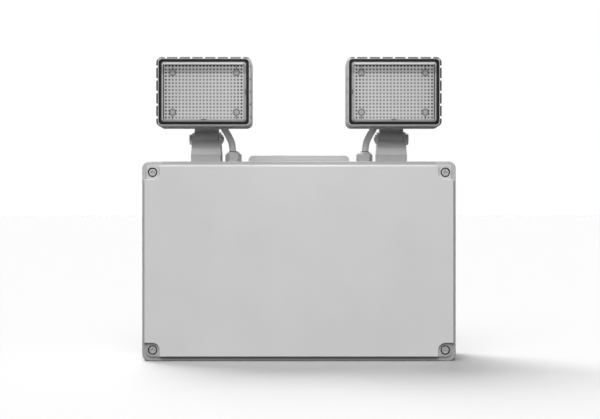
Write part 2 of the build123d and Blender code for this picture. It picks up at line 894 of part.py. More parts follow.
def lead_points(side):
    """The points a head lead runs through, from its terminal to the inside of the head."""
    start_x = output_x + side * output_spacing / 2
    turn_z = ceiling_z - lead_drop
    points = [(start_x, output_y, output_top_z - output_bore_depth)]
    if side < 0:
        points.append((start_x, output_y, turn_z - 5.0))
        points.append((5.0, 2.0, turn_z))
        points.append((-30.0, -10.0, turn_z - 10.0))
    else:
        points.append((start_x, output_y, turn_z - 8.0))
    points.append((side * gland_x, gland_y, turn_z))
    points.append((side * gland_x, gland_y, box_height + lead_straight))
    points.append((side * (gland_x + 4.4), gland_y - 5.2, neck_bottom_z - 8.85))
    points.append((side * bush_x, bush_y, neck_bottom_z - 1.85))
    points.append((side * bush_x, bush_y, neck_bottom_z + 5.15))
    points.append((side * (bush_x + 4.2), bush_y + 12.0, neck_bottom_z + 15.15))
    return points


def turn_radii(points):
    """One bend radius a corner, sized so that neighbouring bends never meet."""
    radii = []
    for before, corner, after in zip(points, points[1:], points[2:]):
        run_in = Vector(*corner) - Vector(*before)
        run_out = Vector(*after) - Vector(*corner)
        half_turn = math.radians(run_in.get_angle(run_out)) / 2
        shorter = min(run_in.length, run_out.length)
        radii.append(lead_turn_share * shorter / math.tan(half_turn))
    return radii


for side, word in ((-1, "left"), (1, "right")):
    arm_centre = side * arm_x
    head_centre = (arm_centre, head_z)

    # Foot gasket: a thin pad under the foot, with its holes
    with BuildPart() as foot_gasket:
        with BuildSketch(Plane.XY.offset(box_height)):
            with Locations((arm_centre, 0)):
                RectangleRounded(post_width, post_depth, post_edge_radius)
                Circle(spigot_radius + screw_hole_gap, mode=Mode.SUBTRACT)
            for corner in (-1, 1):
                offset_x = side * corner * foot_screw_offset
                with Locations((arm_centre + offset_x, corner * foot_screw_offset)):
                    Circle(foot_screw_radius + screw_hole_gap, mode=Mode.SUBTRACT)
        extrude(amount=foot_gasket_thickness)
    foot_gasket.part.label = f"foot_gasket_{word}"
    export_step(foot_gasket.part, f"parts/foot_gasket_{word}.step")

    # Swivel foot: the square block that the arm turns on
    with BuildPart() as swivel_foot:
        with BuildSketch(Plane.XY.offset(box_height + foot_gasket_thickness)):
            with Locations((arm_centre, 0)):
                RectangleRounded(post_width, post_depth, post_edge_radius)
        extrude(amount=foot_height)
        with BuildSketch(Plane.XY.offset(foot_top_z)):
            with Locations((arm_centre, 0)):
                Circle(spigot_radius + spigot_gap)
        extrude(amount=-foot_height, mode=Mode.SUBTRACT)
        with BuildSketch(Plane.XY.offset(box_height + foot_gasket_thickness)):
            for corner in (-1, 1):
                offset_x = side * corner * foot_screw_offset
                with Locations((arm_centre + offset_x, corner * foot_screw_offset)):
                    Circle(foot_screw_radius + thread_gap)
        extrude(amount=foot_screw_grip + 0.2, mode=Mode.SUBTRACT)
    swivel_foot.part.label = f"swivel_foot_{word}"
    export_step(swivel_foot.part, f"parts/swivel_foot_{word}.step")

    # Yoke: a block with two ears either side of a round throat, and a spigot into the box
    with BuildPart() as yoke:
        with BuildSketch(Plane.YZ.offset(arm_centre - post_width)):
            with Locations((0, arm_seat_z + crease_height / 2)):
                Rectangle(post_depth, crease_height)
            with Locations((0, tilt_z)):
                Circle(ear_radius)
            make_hull()
        extrude(amount=2 * post_width)
        with BuildSketch(Plane.XZ):
            with BuildLine():
                Polyline(
                    (arm_centre - post_width / 2, arm_seat_z),
                    (arm_centre + post_width / 2, arm_seat_z),
                    (arm_centre + ear_width / 2, arm_seat_z + crease_height),
                    (arm_centre + ear_width / 2, tilt_z + ear_radius),
                    (arm_centre - ear_width / 2, tilt_z + ear_radius),
                    (arm_centre - ear_width / 2, arm_seat_z + crease_height),
                    close=True,
                )
            make_face()
        extrude(amount=post_depth, both=True, mode=Mode.INTERSECT)
        with BuildSketch(Plane.YZ.offset(arm_centre)):
            with Locations((0, tilt_z)):
                Circle(throat_radius)
        extrude(amount=lug_width / 2 + lug_side_gap, both=True, mode=Mode.SUBTRACT)
        with BuildSketch(Plane.YZ.offset(arm_centre)):
            with Locations((0, tilt_z)):
                Circle(bolt_radius + bolt_gap)
        extrude(amount=post_width, both=True, mode=Mode.SUBTRACT)
        with BuildSketch(Plane.YZ.offset(arm_centre - side * ear_width / 2)):
            with Locations((0, tilt_z)):
                RegularPolygon(nut_flats / 2 + 0.1, 6, major_radius=False)
        extrude(amount=side * nut_sink, mode=Mode.SUBTRACT)
        with BuildSketch(Plane.XY.offset(arm_seat_z)):
            with Locations((arm_centre, 0)):
                Circle(spigot_radius)
        extrude(amount=-spigot_length)
    yoke.part.label = f"yoke_{word}"
    export_step(yoke.part, f"parts/yoke_{word}.step")

    # Swivel nut: under the box top, on the spigot of the yoke
    with BuildPart() as swivel_nut:
        with BuildSketch(Plane.XY.offset(ceiling_z - swivel_nut_gap)):
            with Locations((arm_centre, 0)):
                RegularPolygon(swivel_nut_flats / 2, 6, major_radius=False)
                Circle(spigot_radius + thread_gap, mode=Mode.SUBTRACT)
        extrude(amount=-swivel_nut_thickness)
    swivel_nut.part.label = f"swivel_nut_{word}"
    export_step(swivel_nut.part, f"parts/swivel_nut_{word}.step")

    # Tilt bolt: through both ears and the lug, its round head on the outer side
    ear_face_x = arm_centre + side * ear_width / 2
    nut_seat_x = arm_centre - side * (ear_width / 2 - nut_sink)
    with BuildPart() as tilt_bolt:
        with BuildSketch(Plane.YZ.offset(ear_face_x)):
            with Locations((0, tilt_z)):
                Circle(bolt_head_radius)
        extrude(amount=side * bolt_head_height)
        fillet(tilt_bolt.faces().sort_by(Axis.X)[-1 if side > 0 else 0].edges(), bolt_head_edge)
        with BuildSketch(Plane.YZ.offset(ear_face_x)):
            with Locations((0, tilt_z)):
                Circle(bolt_radius)
        extrude(amount=-side * (ear_width - nut_sink + nut_thickness + bolt_tip))
        with BuildSketch(Plane.YZ.offset(ear_face_x + side * bolt_head_height)):
            with Locations((0, tilt_z)):
                RegularPolygon(bolt_socket_radius, 6)
        extrude(amount=-side * bolt_socket_depth, mode=Mode.SUBTRACT)
    tilt_bolt.part.label = f"tilt_bolt_{word}"
    export_step(tilt_bolt.part, f"parts/tilt_bolt_{word}.step")

    # Tilt nut: a hexagon sunk a little into the inner ear
    with BuildPart() as tilt_nut:
        with BuildSketch(Plane.YZ.offset(nut_seat_x)):
            with Locations((0, tilt_z)):
                RegularPolygon(nut_flats / 2, 6, major_radius=False)
                Circle(bolt_radius + thread_gap, mode=Mode.SUBTRACT)
        extrude(amount=-side * nut_thickness)
    tilt_nut.part.label = f"tilt_nut_{word}"
    export_step(tilt_nut.part, f"parts/tilt_nut_{word}.step")

    # Foot screws: two, driven up from inside the box into the foot
    with BuildPart() as foot_screws:
        for corner in (-1, 1):
            screw_x = arm_centre + side * corner * foot_screw_offset
            screw_y = corner * foot_screw_offset
            with BuildSketch(Plane.XY.offset(ceiling_z)):
                with Locations((screw_x, screw_y)):
                    Circle(foot_screw_head_radius)
            extrude(amount=-foot_screw_head_height)
            with BuildSketch(Plane.XY.offset(ceiling_z)):
                with Locations((screw_x, screw_y)):
                    Circle(foot_screw_radius)
            extrude(amount=box_wall + foot_gasket_thickness + foot_screw_grip)
            with BuildSketch(Plane.XY.offset(ceiling_z - foot_screw_head_height)):
                with Locations((screw_x, screw_y)):
                    Rectangle(recess_share * foot_screw_head_radius, recess_width)
                    Rectangle(recess_width, recess_share * foot_screw_head_radius)
            extrude(amount=foot_screw_head_height / 2, mode=Mode.SUBTRACT)
    foot_screws.part.label = f"foot_screws_{word}"
    export_step(foot_screws.part, f"parts/foot_screws_{word}.step")

    # Gland body: a hexagon flange on the box, a thread through the top and a neck above
    gland_place = (side * gland_x, gland_y)
    nut_base_z = box_height + gland_flange_height
    nut_top_z = nut_base_z + gland_nut_height
    with BuildPart() as gland_body:
        with BuildSketch(Plane.XY.offset(box_height)):
            with Locations(gland_place):
                RegularPolygon(gland_flats / 2, 6, major_radius=False)
        extrude(amount=gland_flange_height)
        with BuildSketch(Plane.XY.offset(box_height)):
            with Locations(gland_place):
                Circle(gland_thread_radius)
        extrude(amount=-gland_thread_length)
        with BuildSketch(Plane.XY.offset(nut_base_z)):
            with Locations(gland_place):
                Circle(gland_neck_radius)
        extrude(amount=gland_neck_height)
        with BuildSketch(Plane.XY.offset(nut_base_z + gland_neck_height)):
            with Locations(gland_place):
                Circle(lead_radius + lead_gap)
        bore_length = gland_neck_height + gland_flange_height + gland_thread_length
        extrude(amount=-bore_length, mode=Mode.SUBTRACT)
    gland_body.part.label = f"gland_body_{word}"
    export_step(gland_body.part, f"parts/gland_body_{word}.step")

    # Gland nut: a hexagon whose top is turned to a dome
    with BuildPart() as gland_nut:
        with BuildSketch(Plane.XY.offset(nut_base_z)):
            with Locations(gland_place):
                RegularPolygon(gland_flats / 2, 6, major_radius=False, rotation=gland_turn)
        extrude(amount=gland_nut_height)
        with BuildSketch(Plane(origin=(*gland_place, 0), x_dir=(1, 0, 0), z_dir=(0, -1, 0))):
            with BuildLine():
                Polyline(
                    (0, nut_base_z),
                    (gland_flats, nut_base_z),
                    (gland_flats, nut_top_z - gland_dome_height),
                    (gland_flats / 2 + 0.3, nut_top_z - gland_dome_height / 2),
                    (gland_dome_radius + 1.0, nut_top_z - gland_dome_height / 8),
                    (gland_dome_radius, nut_top_z),
                    (0, nut_top_z),
                    close=True,
                )
            make_face()
        revolve(
            axis=Axis((*gland_place, 0), (0, 0, 1)), revolution_arc=360, mode=Mode.INTERSECT
        )
        with BuildSketch(Plane.XY.offset(nut_base_z)):
            with Locations(gland_place):
                Circle(gland_neck_radius + thread_gap)
        extrude(amount=gland_neck_height + 0.1, mode=Mode.SUBTRACT)
        with BuildSketch(Plane.XY.offset(nut_base_z)):
            with Locations(gland_place):
                Circle(lead_radius + gland_seal_thickness + thread_gap)
        extrude(amount=gland_nut_height, mode=Mode.SUBTRACT)
    gland_nut.part.label = f"gland_nut_{word}"
    export_step(gland_nut.part, f"parts/gland_nut_{word}.step")

    # Gland seal: a soft sleeve between the nut and the lead
    with BuildPart() as gland_seal:
        with BuildSketch(Plane.XY.offset(nut_base_z + gland_neck_height + 0.1)):
            with Locations(gland_place):
                Circle(lead_radius + gland_seal_thickness)
                Circle(lead_radius + lead_gap, mode=Mode.SUBTRACT)
        extrude(amount=gland_nut_height - gland_neck_height - 0.1 + gland_seal_proud)
    gland_seal.part.label = f"gland_seal_{word}"
    export_step(gland_seal.part, f"parts/gland_seal_{word}.step")

    # Gland locknut: under the box top
    with BuildPart() as gland_locknut:
        with BuildSketch(Plane.XY.offset(ceiling_z)):
            with Locations(gland_place):
                RegularPolygon(gland_locknut_flats / 2, 6, major_radius=False)
                Circle(gland_thread_radius + thread_gap, mode=Mode.SUBTRACT)
        extrude(amount=-gland_locknut_thickness)
    gland_locknut.part.label = f"gland_locknut_{word}"
    export_step(gland_locknut.part, f"parts/gland_locknut_{word}.step")

    # Head housing: notched rim, neck, band, tapered back with fins, and the lug of the arm
    with BuildPart() as head_housing:
        extrude(
            plate(rim_back_y, head_centre, head_width, head_height, head_radius),
            amount=rim_depth,
            dir=out_of_box,
        )
        chamfer(head_housing.faces().sort_by(Axis.Y)[0].edges(), rim_edge_radius)
        extrude(
            plate(band_front_y, head_centre, neck_width, neck_height, head_radius - slot_depth),
            amount=neck_depth,
            dir=out_of_box,
        )
        extrude(
            plate(band_front_y, head_centre, head_width, head_height, head_radius),
            amount=band_depth,
            dir=into_box,
        )
        taper_front = plate(
            band_back_y,
            head_centre,
            head_width - 2 * tail_inset,
            head_height - 2 * tail_inset,
            head_radius,
        )
        taper_back = plate(head_back_y, head_centre, tail_width, tail_height, head_radius)
        loft([taper_front, taper_back])
        fin_half = head_height / 2 - tail_inset
        for index in range(fin_count):
            fin_x = arm_centre + (index - (fin_count - 1) / 2) * slot_pitch
            with BuildSketch(Plane.YZ.offset(fin_x)):
                with Locations((0, head_z)):
                    Polygon(
                        (band_back_y - 1.0, -fin_half),
                        (band_back_y, -fin_half),
                        (head_back_y, -fin_half + fin_drop),
                        (head_back_y, fin_half - fin_drop),
                        (band_back_y, fin_half),
                        (band_back_y - 1.0, fin_half),
                        align=None,
                    )
            extrude(amount=fin_thickness / 2, both=True)
        web_top_z = head_z - rear_pocket_height / 2 - 1.0
        with BuildSketch(Plane.YZ.offset(arm_centre)):
            with Locations((0, tilt_z)):
                Circle(lug_radius)
            with Locations((0, (tilt_z + web_top_z) / 2)):
                Rectangle(lug_web, web_top_z - tilt_z)
        extrude(amount=lug_width / 2, both=True)
        with BuildSketch(Plane.YZ.offset(arm_centre)):
            with Locations((0, tilt_z)):
                Circle(bolt_radius + bolt_gap)
        extrude(amount=lug_width, both=True, mode=Mode.SUBTRACT)
        with BuildSketch(facing(head_lip_y)):
            with Locations((arm_centre, head_z + head_height / 2)):
                with GridLocations(slot_pitch, 0, 7, 1):
                    Rectangle(slot_width, 2 * slot_depth)
            for edge in (-1, 1):
                with Locations((arm_centre + edge * head_width / 2, head_z)):
                    with GridLocations(0, slot_pitch, 1, 5):
                        Rectangle(2 * slot_depth, slot_width)
        extrude(amount=-rim_depth, mode=Mode.SUBTRACT)
        extrude(
            plate(
                head_lip_y,
                head_centre,
                head_width - 2 * rebate_wall,
                head_height - 2 * rebate_wall_low,
                rebate_radius,
            ),
            amount=rebate_depth,
            dir=into_box,
            mode=Mode.SUBTRACT,
        )
        extrude(
            plate(lens_seat_y, head_centre, head_cavity_width, head_cavity_height, 3.0),
            amount=head_cavity_depth,
            dir=into_box,
            mode=Mode.SUBTRACT,
        )
        extrude(
            plate(head_floor_y, head_centre, rear_pocket_width, rear_pocket_height, 3.0),
            amount=rear_pocket_depth,
            dir=into_box,
            mode=Mode.SUBTRACT,
        )
        extrude(
            circles(head_floor_y, head_centre, post_spacing, post_radius),
            amount=head_floor_y - lamp_board_back_y,
            dir=out_of_box,
        )
        extrude(
            circles(lamp_board_back_y, head_centre, post_spacing, lamp_screw_radius + thread_gap),
            amount=lamp_screw_length,
            dir=into_box,
            mode=Mode.SUBTRACT,
        )
        with BuildSketch(Plane.XY.offset(neck_bottom_z)):
            with Locations((side * bush_x, bush_y)):
                Circle(bush_stem_radius + bush_stem_gap)
        extrude(amount=bush_stem_length, mode=Mode.SUBTRACT)
    head_housing.part.label = f"head_housing_{word}"
    export_step(head_housing.part, f"parts/head_housing_{word}.step")

    # Lens gasket: a frame between the rim and the raised block of the lens
    with BuildPart() as lens_gasket:
        extrude(
            plate(
                lens_shelf_y,
                head_centre,
                head_width - 2 * rebate_wall,
                head_height - 2 * rebate_wall_low,
                rebate_radius,
            ),
            amount=lens_shelf_y - gasket_front_y,
            dir=out_of_box,
        )
        extrude(
            plate(
                lens_shelf_y,
                head_centre,
                lens_block_width + lead_gap,
                lens_block_height + lead_gap,
                lens_block_radius,
            ),
            amount=lens_shelf_y - gasket_front_y,
            dir=out_of_box,
            mode=Mode.SUBTRACT,
        )
    lens_gasket.part.label = f"lens_gasket_{word}"
    export_step(lens_gasket.part, f"parts/lens_gasket_{word}.step")

    # Lens: a flanged cover with a raised block, its inner face cut into rows of small prisms, and
    # two short grooves at the foot of its slope, below and on the side of the box's middle
    with BuildPart() as lens:
        extrude(
            plate(
                lens_seat_y,
                head_centre,
                head_width - 2 * rebate_wall - 2 * lens_flange_gap,
                head_height - 2 * rebate_wall_low - 2 * lens_flange_gap,
                rebate_radius - lens_flange_gap,
            ),
            amount=lens_flange_thickness,
            dir=out_of_box,
        )
        extrude(
            plate(lens_shelf_y, head_centre, lens_block_width, lens_block_height, lens_block_radius),
            amount=lens_shelf_y - lens_front_y,
            dir=out_of_box,
        )
        chamfer(lens.faces().sort_by(Axis.Y)[0].edges(), lens_slope_depth, lens_slope_width)
        extrude(
            plate(
                lens_seat_y,
                head_centre,
                lens_block_width - 2 * lens_wall,
                lens_block_height - 2 * lens_wall,
                lens_block_radius,
            ),
            amount=lens_seat_y - lens_inner_y,
            dir=out_of_box,
            mode=Mode.SUBTRACT,
        )
        with BuildSketch(facing(lens_front_y)):
            with Locations((arm_centre, head_z - lens_block_height / 2 + lens_slope_width)):
                Rectangle(lens_mark_length, lens_mark_width)
            mark_x = arm_centre - side * (lens_block_width / 2 - lens_slope_width)
            with Locations((mark_x, head_z)):
                Rectangle(lens_mark_width, lens_mark_length)
        extrude(amount=-lens_mark_depth, mode=Mode.SUBTRACT)
        field_width = prism_columns * prism_pitch
        field_height = prism_rows * prism_pitch
        with BuildSketch(facing(lens_inner_y)):
            with Locations(head_centre):
                Rectangle(field_width, field_height)
        extrude(amount=-prism_height)
        ridge = (prism_pitch - prism_root) / 2
        with BuildSketch(Plane.XY.offset(head_z - field_height / 2)):
            with Locations((arm_centre, lens_inner_y)):
                with GridLocations(prism_pitch, 0, prism_columns + 1, 1):
                    Polygon((-ridge, prism_height), (0, 0), (ridge, prism_height), align=None)
        extrude(amount=field_height, mode=Mode.SUBTRACT)
        with BuildSketch(Plane.YZ.offset(arm_centre - field_width / 2)):
            with Locations((lens_inner_y, head_z)):
                with GridLocations(0, prism_pitch, 1, prism_rows + 1):
                    Polygon((prism_height, -ridge), (0, 0), (prism_height, ridge), align=None)
        extrude(amount=field_width, mode=Mode.SUBTRACT)
    lens.part.label = f"lens_{word}"
    export_step(lens.part, f"parts/lens_{word}.step")

    # Reflector: a bright frame with sloped walls, notched round the four screws
    with BuildPart() as reflector:
        extrude(
            plate(lens_seat_y, head_centre, reflector_rim_width, reflector_rim_height, 2.5),
            amount=reflector_wall,
            dir=into_box,
        )
        outer_front = plate(
            lens_seat_y + reflector_wall,
            head_centre,
            reflector_rim_width - reflector_wall,
            reflector_rim_height - reflector_wall,
            2.5,
        )
        outer_back = plate(
            lamp_board_front_y,
            head_centre,
            reflector_floor_width + 2 * reflector_wall,
            reflector_floor_height + 2 * reflector_wall,
            2.5,
        )
        loft([outer_front, outer_back])
        inner_front = plate(
            lens_seat_y,
            head_centre,
            reflector_rim_width - 2.5 * reflector_wall,
            reflector_rim_height - 2.5 * reflector_wall,
            1.5,
        )
        inner_back = plate(
            lamp_board_front_y, head_centre, reflector_floor_width, reflector_floor_height, 1.5
        )
        loft([inner_front, inner_back], mode=Mode.SUBTRACT)
        extrude(
            circles(
                lamp_board_front_y,
                head_centre,
                post_spacing,
                lamp_screw_head_radius + reflector_screw_gap,
            ),
            amount=reflector_depth,
            dir=out_of_box,
            mode=Mode.SUBTRACT,
        )
    reflector.part.label = f"reflector_{word}"
    export_step(reflector.part, f"parts/reflector_{word}.step")

    # Lamp board: a flat board on four posts, held by four screws
    with BuildPart() as lamp_board:
        with BuildSketch(facing(lamp_board_back_y)):
            with Locations(head_centre):
                Rectangle(lamp_board_width, lamp_board_height)
        extrude(amount=lamp_board_thickness)
        extrude(
            circles(lamp_board_back_y, head_centre, post_spacing, lamp_screw_radius + thread_gap),
            amount=lamp_board_thickness,
            dir=out_of_box,
            mode=Mode.SUBTRACT,
        )
    lamp_board.part.label = f"lamp_board_{word}"
    export_step(lamp_board.part, f"parts/lamp_board_{word}.step")

    # Lamps: rows of small square bodies, each with a low round lens
    with BuildPart() as lamps:
        with BuildSketch(facing(lamp_board_front_y)):
            with Locations(head_centre):
                with GridLocations(lamp_pitch, lamp_row_pitch, lamp_columns, lamp_rows):
                    Rectangle(lamp_size, lamp_size)
        extrude(amount=lamp_thickness)
        with BuildSketch(facing(lamp_board_front_y - lamp_thickness)):
            with Locations(head_centre):
                with GridLocations(lamp_pitch, lamp_row_pitch, lamp_columns, lamp_rows):
                    Circle(lamp_dome_radius)
        extrude(amount=lamp_dome_radius / 2)
    lamps.part.label = f"lamps_{word}"
    export_step(lamps.part, f"parts/lamps_{word}.step")

    # Lamp board screws: four with cross recesses, into the posts of the housing
    with BuildPart() as board_screws:
        extrude(
            circles(lamp_board_front_y, head_centre, post_spacing, lamp_screw_head_radius),
            amount=lamp_screw_head_height,
            dir=out_of_box,
        )
        fillet(board_screws.faces().sort_by(Axis.Y)[:4].edges(), head_edge)
        extrude(
            circles(lamp_board_front_y, head_centre, post_spacing, lamp_screw_radius),
            amount=lamp_screw_length,
            dir=into_box,
        )
        extrude(
            crosses(
                lamp_board_front_y - lamp_screw_head_height,
                head_centre,
                post_spacing,
                recess_share * lamp_screw_head_radius,
                recess_width,
            ),
            amount=lamp_screw_head_height / 2,
            dir=into_box,
            mode=Mode.SUBTRACT,
        )
    board_screws.part.label = f"board_screws_{word}"
    export_step(board_screws.part, f"parts/board_screws_{word}.step")

    # Head lead: one round lead from its terminal through the gland and up into the head
    route_points = lead_points(side)
    route_radii = turn_radii(route_points)
    with BuildPart() as head_lead:
        with BuildLine() as route:
            FilletPolyline(*route_points, radius=route_radii)
        with BuildSketch(Plane(origin=route_points[0], z_dir=(0, 0, 1))):
            Circle(lead_radius)
        sweep()
    head_lead.part.label = f"head_lead_{word}"
    export_step(head_lead.part, f"parts/head_lead_{word}.step")
    bend_list = [round(radius, 1) for radius in route_radii]
    lead_length = route.wires()[0].length
    stated = math.pi * lead_radius**2 * lead_length
    print(word, "lead length", round(lead_length, 1), "bends", bend_list)
    print(word, "lead volume", round(head_lead.part.volume), "section times length", round(stated))

    # Lead bush: a soft collar under the head, bored along the run of the lead
    corner_in = Vector(*route_points[-4])
    corner_bush = Vector(*route_points[-3])
    lean = (corner_in - corner_bush).normalized() * bush_shift
    with BuildPart() as lead_bush:
        with BuildSketch(Plane.XY.offset(neck_bottom_z)):
            with Locations((side * bush_x + lean.X, bush_y + lean.Y)):
                Circle(bush_flange_radius)
        extrude(amount=-bush_flange_height)
        fillet(lead_bush.faces().sort_by(Axis.Z)[0].edges(), head_edge)
        with BuildSketch(Plane.XY.offset(neck_bottom_z)):
            with Locations((side * bush_x, bush_y)):
                Circle(bush_stem_radius)
        extrude(amount=bush_stem_length)
        bore_points = route_points[-5:]
        with BuildLine():
            FilletPolyline(*bore_points, radius=turn_radii(bore_points))
        with BuildSketch(Plane(origin=bore_points[0], z_dir=corner_in - Vector(*bore_points[0]))):
            Circle(lead_radius + lead_gap)
        sweep(mode=Mode.SUBTRACT)
    lead_bush.part.label = f"lead_bush_{word}"
    export_step(lead_bush.part, f"parts/lead_bush_{word}.step")
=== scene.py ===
# %% [markdown]
# A twin-head emergency light, dressed for a studio picture.
# The solids come from the CAD frame and already have the right shape, so most of this lesson is
# about finishes: white mouldings, a coated casting, a clear prismatic lens and plated screws.
# Only the leads that run from the box up to the heads are new pieces, cut so that the end in each
# head moves with it when the head turns or tilts.

# %% Load the frame
import math

import bpy
import numpy as np
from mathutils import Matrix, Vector


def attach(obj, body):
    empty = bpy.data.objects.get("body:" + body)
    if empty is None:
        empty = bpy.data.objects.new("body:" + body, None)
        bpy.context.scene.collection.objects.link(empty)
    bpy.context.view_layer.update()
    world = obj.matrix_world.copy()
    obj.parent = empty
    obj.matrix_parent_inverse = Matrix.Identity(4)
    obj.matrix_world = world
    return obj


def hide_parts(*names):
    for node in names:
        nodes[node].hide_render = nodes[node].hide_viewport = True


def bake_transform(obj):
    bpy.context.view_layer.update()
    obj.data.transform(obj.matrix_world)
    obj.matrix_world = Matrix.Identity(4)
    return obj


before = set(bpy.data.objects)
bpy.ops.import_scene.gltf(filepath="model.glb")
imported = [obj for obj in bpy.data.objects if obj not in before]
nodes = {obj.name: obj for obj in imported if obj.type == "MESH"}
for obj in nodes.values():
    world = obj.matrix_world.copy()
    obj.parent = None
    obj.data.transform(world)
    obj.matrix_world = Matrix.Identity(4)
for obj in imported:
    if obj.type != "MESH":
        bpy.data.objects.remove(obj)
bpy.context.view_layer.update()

MM = 0.001
SIDES = {"left": -1.0, "right": 1.0}

# %% [markdown]
# Paint and plastic makers give colours as sRGB hex values, and Blender's shaders work in linear
# light. One function turns the first into the second. A second small function adds a shader node:
# it sets the node's options, then gives each input a plain value or a link.


# %% Colour and node helpers
def linear(hex_colour):
    """sRGB hex to linear RGBA: c / 12.92 below 0.04045, else ((c + 0.055) / 1.055) ** 2.4."""
    channels = np.array([int(hex_colour[i : i + 2], 16) for i in (1, 3, 5)]) / 255.0
    curve = ((channels + 0.055) / 1.055) ** 2.4
    return tuple(np.where(channels <= 0.04045, channels / 12.92, curve)) + (1.0,)


def add_node(tree, kind, inputs=None, **options):
    """Adds one node to a tree. A socket given as an input is linked, any other value is set."""
    node = tree.nodes.new(kind)
    for option, value in options.items():
        setattr(node, option, value)
    for key, value in (inputs or {}).items():
        if isinstance(value, bpy.types.NodeSocket):
            tree.links.new(value, node.inputs[key])
        else:
            node.inputs[key].default_value = value
    return node


def new_finish(name):
    """An empty node material with its surface shader and output, ready for a pattern."""
    material = bpy.data.materials.new(name)
    material.use_nodes = True
    tree = material.node_tree
    tree.nodes.clear()
    shader = add_node(tree, "ShaderNodeBsdfPrincipled")
    add_node(tree, "ShaderNodeOutputMaterial", {"Surface": shader.outputs["BSDF"]})
    place = add_node(tree, "ShaderNodeTexCoord").outputs["Object"]
    return material, tree, shader, place


def per_metre(size_mm):
    """A pattern's scale, in features a metre, from the size of one feature in millimetres."""
    return 1000.0 / size_mm


print("mid grey #808080 is linear", round(float(linear("#808080")[0]), 3))

# %% [markdown]
# The box, the cover and the small fittings are injection mouldings. Their mould is spark eroded,
# so the skin has a very fine grain that softens reflections, and large faces cool unevenly, which
# leaves a faint cloudiness. Every moulding here has the same three things: a broad cloud in the
# colour, a fine grain in the bump, and a little spread in the roughness.


# %% Moulded and coated skins
def skin(name, face_hex, cloud_hex, cloud_mm, grain_mm, depth_mm, roughness, ior=1.5, spread=0.06):
    """Colour runs between two close hexes over cloud_mm; the bump is noise of grain_mm."""
    material, tree, shader, place = new_finish(name)
    cloud = add_node(
        tree, "ShaderNodeTexNoise", {"Vector": place, "Scale": per_metre(cloud_mm), "Detail": 4.0}
    ).outputs["Fac"]
    spread_out = add_node(
        tree, "ShaderNodeMapRange", {"Value": cloud, "From Min": 0.3, "From Max": 0.7}
    ).outputs["Result"]
    tint = add_node(
        tree,
        "ShaderNodeMix",
        {0: spread_out, 6: linear(face_hex), 7: linear(cloud_hex)},
        data_type="RGBA",
    ).outputs[2]
    gloss = add_node(
        tree,
        "ShaderNodeMapRange",
        {"Value": cloud, "From Min": 0.3, "From Max": 0.7,
         "To Min": roughness - spread, "To Max": roughness + spread},
    ).outputs["Result"]
    grain = add_node(
        tree, "ShaderNodeTexNoise", {"Vector": place, "Scale": per_metre(grain_mm), "Detail": 2.0}
    ).outputs["Fac"]
    bump = add_node(
        tree,
        "ShaderNodeBump",
        {"Height": grain, "Strength": 0.5, "Distance": depth_mm * MM},
    ).outputs["Normal"]
    tree.links.new(tint, shader.inputs["Base Color"])
    tree.links.new(gloss, shader.inputs["Roughness"])
    tree.links.new(bump, shader.inputs["Normal"])
    shader.inputs["IOR"].default_value = ior
    return material


# ABS, moulded in a spark eroded tool: off-white, soft broad highlights. The box's copy is
# painted a little darker than the cover's, as painted shade.
box_abs = skin("moulded white ABS", "#d4d4d4", "#cecece", 60.0, 0.45, 0.04, 0.42)
# The same ABS for the cover, as a finish by itself because the cover gets marks of its own and
# is painted lighter than the box.
cover_abs = skin("moulded white ABS cover", "#dddddd", "#d7d7d7", 60.0, 0.45, 0.04, 0.42)
# Glass filled nylon, moulded: light grey, duller than the box.
fitting_nylon = skin("moulded grey nylon", "#bfbfbf", "#b8b8b8", 25.0, 0.35, 0.04, 0.46)
# The same nylon for the yokes, painted lighter than the foot's as painted light where the heads
# shade them, and a little smoother.
yoke_nylon = skin("moulded light grey nylon", "#dedede", "#d7d7d7", 25.0, 0.35, 0.04, 0.42)
# Nylon of the glands: a darker grey, slightly waxy.
gland_nylon = skin("moulded dark grey nylon", "#ababab", "#a3a3a3", 12.0, 0.3, 0.03, 0.4)
# Die cast aluminium with a polyester powder coat: orange peel of about 1.5 mm under the gloss.
coated_casting = skin("powder coated casting", "#c0c0c0", "#b9b9b9", 40.0, 1.4, 0.05, 0.34)
# EPDM and silicone rubber: nearly black, no gloss to speak of.
seal_epdm = skin("EPDM foam rubber", "#1c1c1d", "#28282a", 8.0, 0.3, 0.08, 0.78)
lens_silicone = skin("black silicone rubber", "#0b0b0b", "#121212", 12.0, 0.4, 0.05, 0.72, 1.41)
# Soft PVC sheath of the leads: light grey, faintly greasy sheen.
sheath_pvc = skin("soft grey PVC", "#c8c8c8", "#bebebe", 9.0, 0.5, 0.05, 0.5)
# Plain technical mouldings inside the box.
case_black = skin("moulded black ABS", "#17181a", "#202124", 20.0, 0.4, 0.05, 0.5)
nylon_natural = skin("natural nylon", "#d9d5c7", "#cfcabb", 9.0, 0.3, 0.03, 0.45)
block_grey = skin("grey polyamide", "#7b7d80", "#707275", 14.0, 0.35, 0.04, 0.5)
block_green = skin("green polyamide", "#2c6b3f", "#25603a", 14.0, 0.35, 0.04, 0.5)
relay_blue = skin("blue PBT", "#1f3a66", "#1a335b", 14.0, 0.35, 0.03, 0.42)
cap_red = skin("gloss red ABS", "#a3211a", "#931c16", 10.0, 0.4, 0.02, 0.28)
indicator_pc = skin("green polycarbonate", "#2f9a4a", "#278a41", 6.0, 0.4, 0.01, 0.15, 1.58)
print("moulded and coated finishes", len(bpy.data.materials))
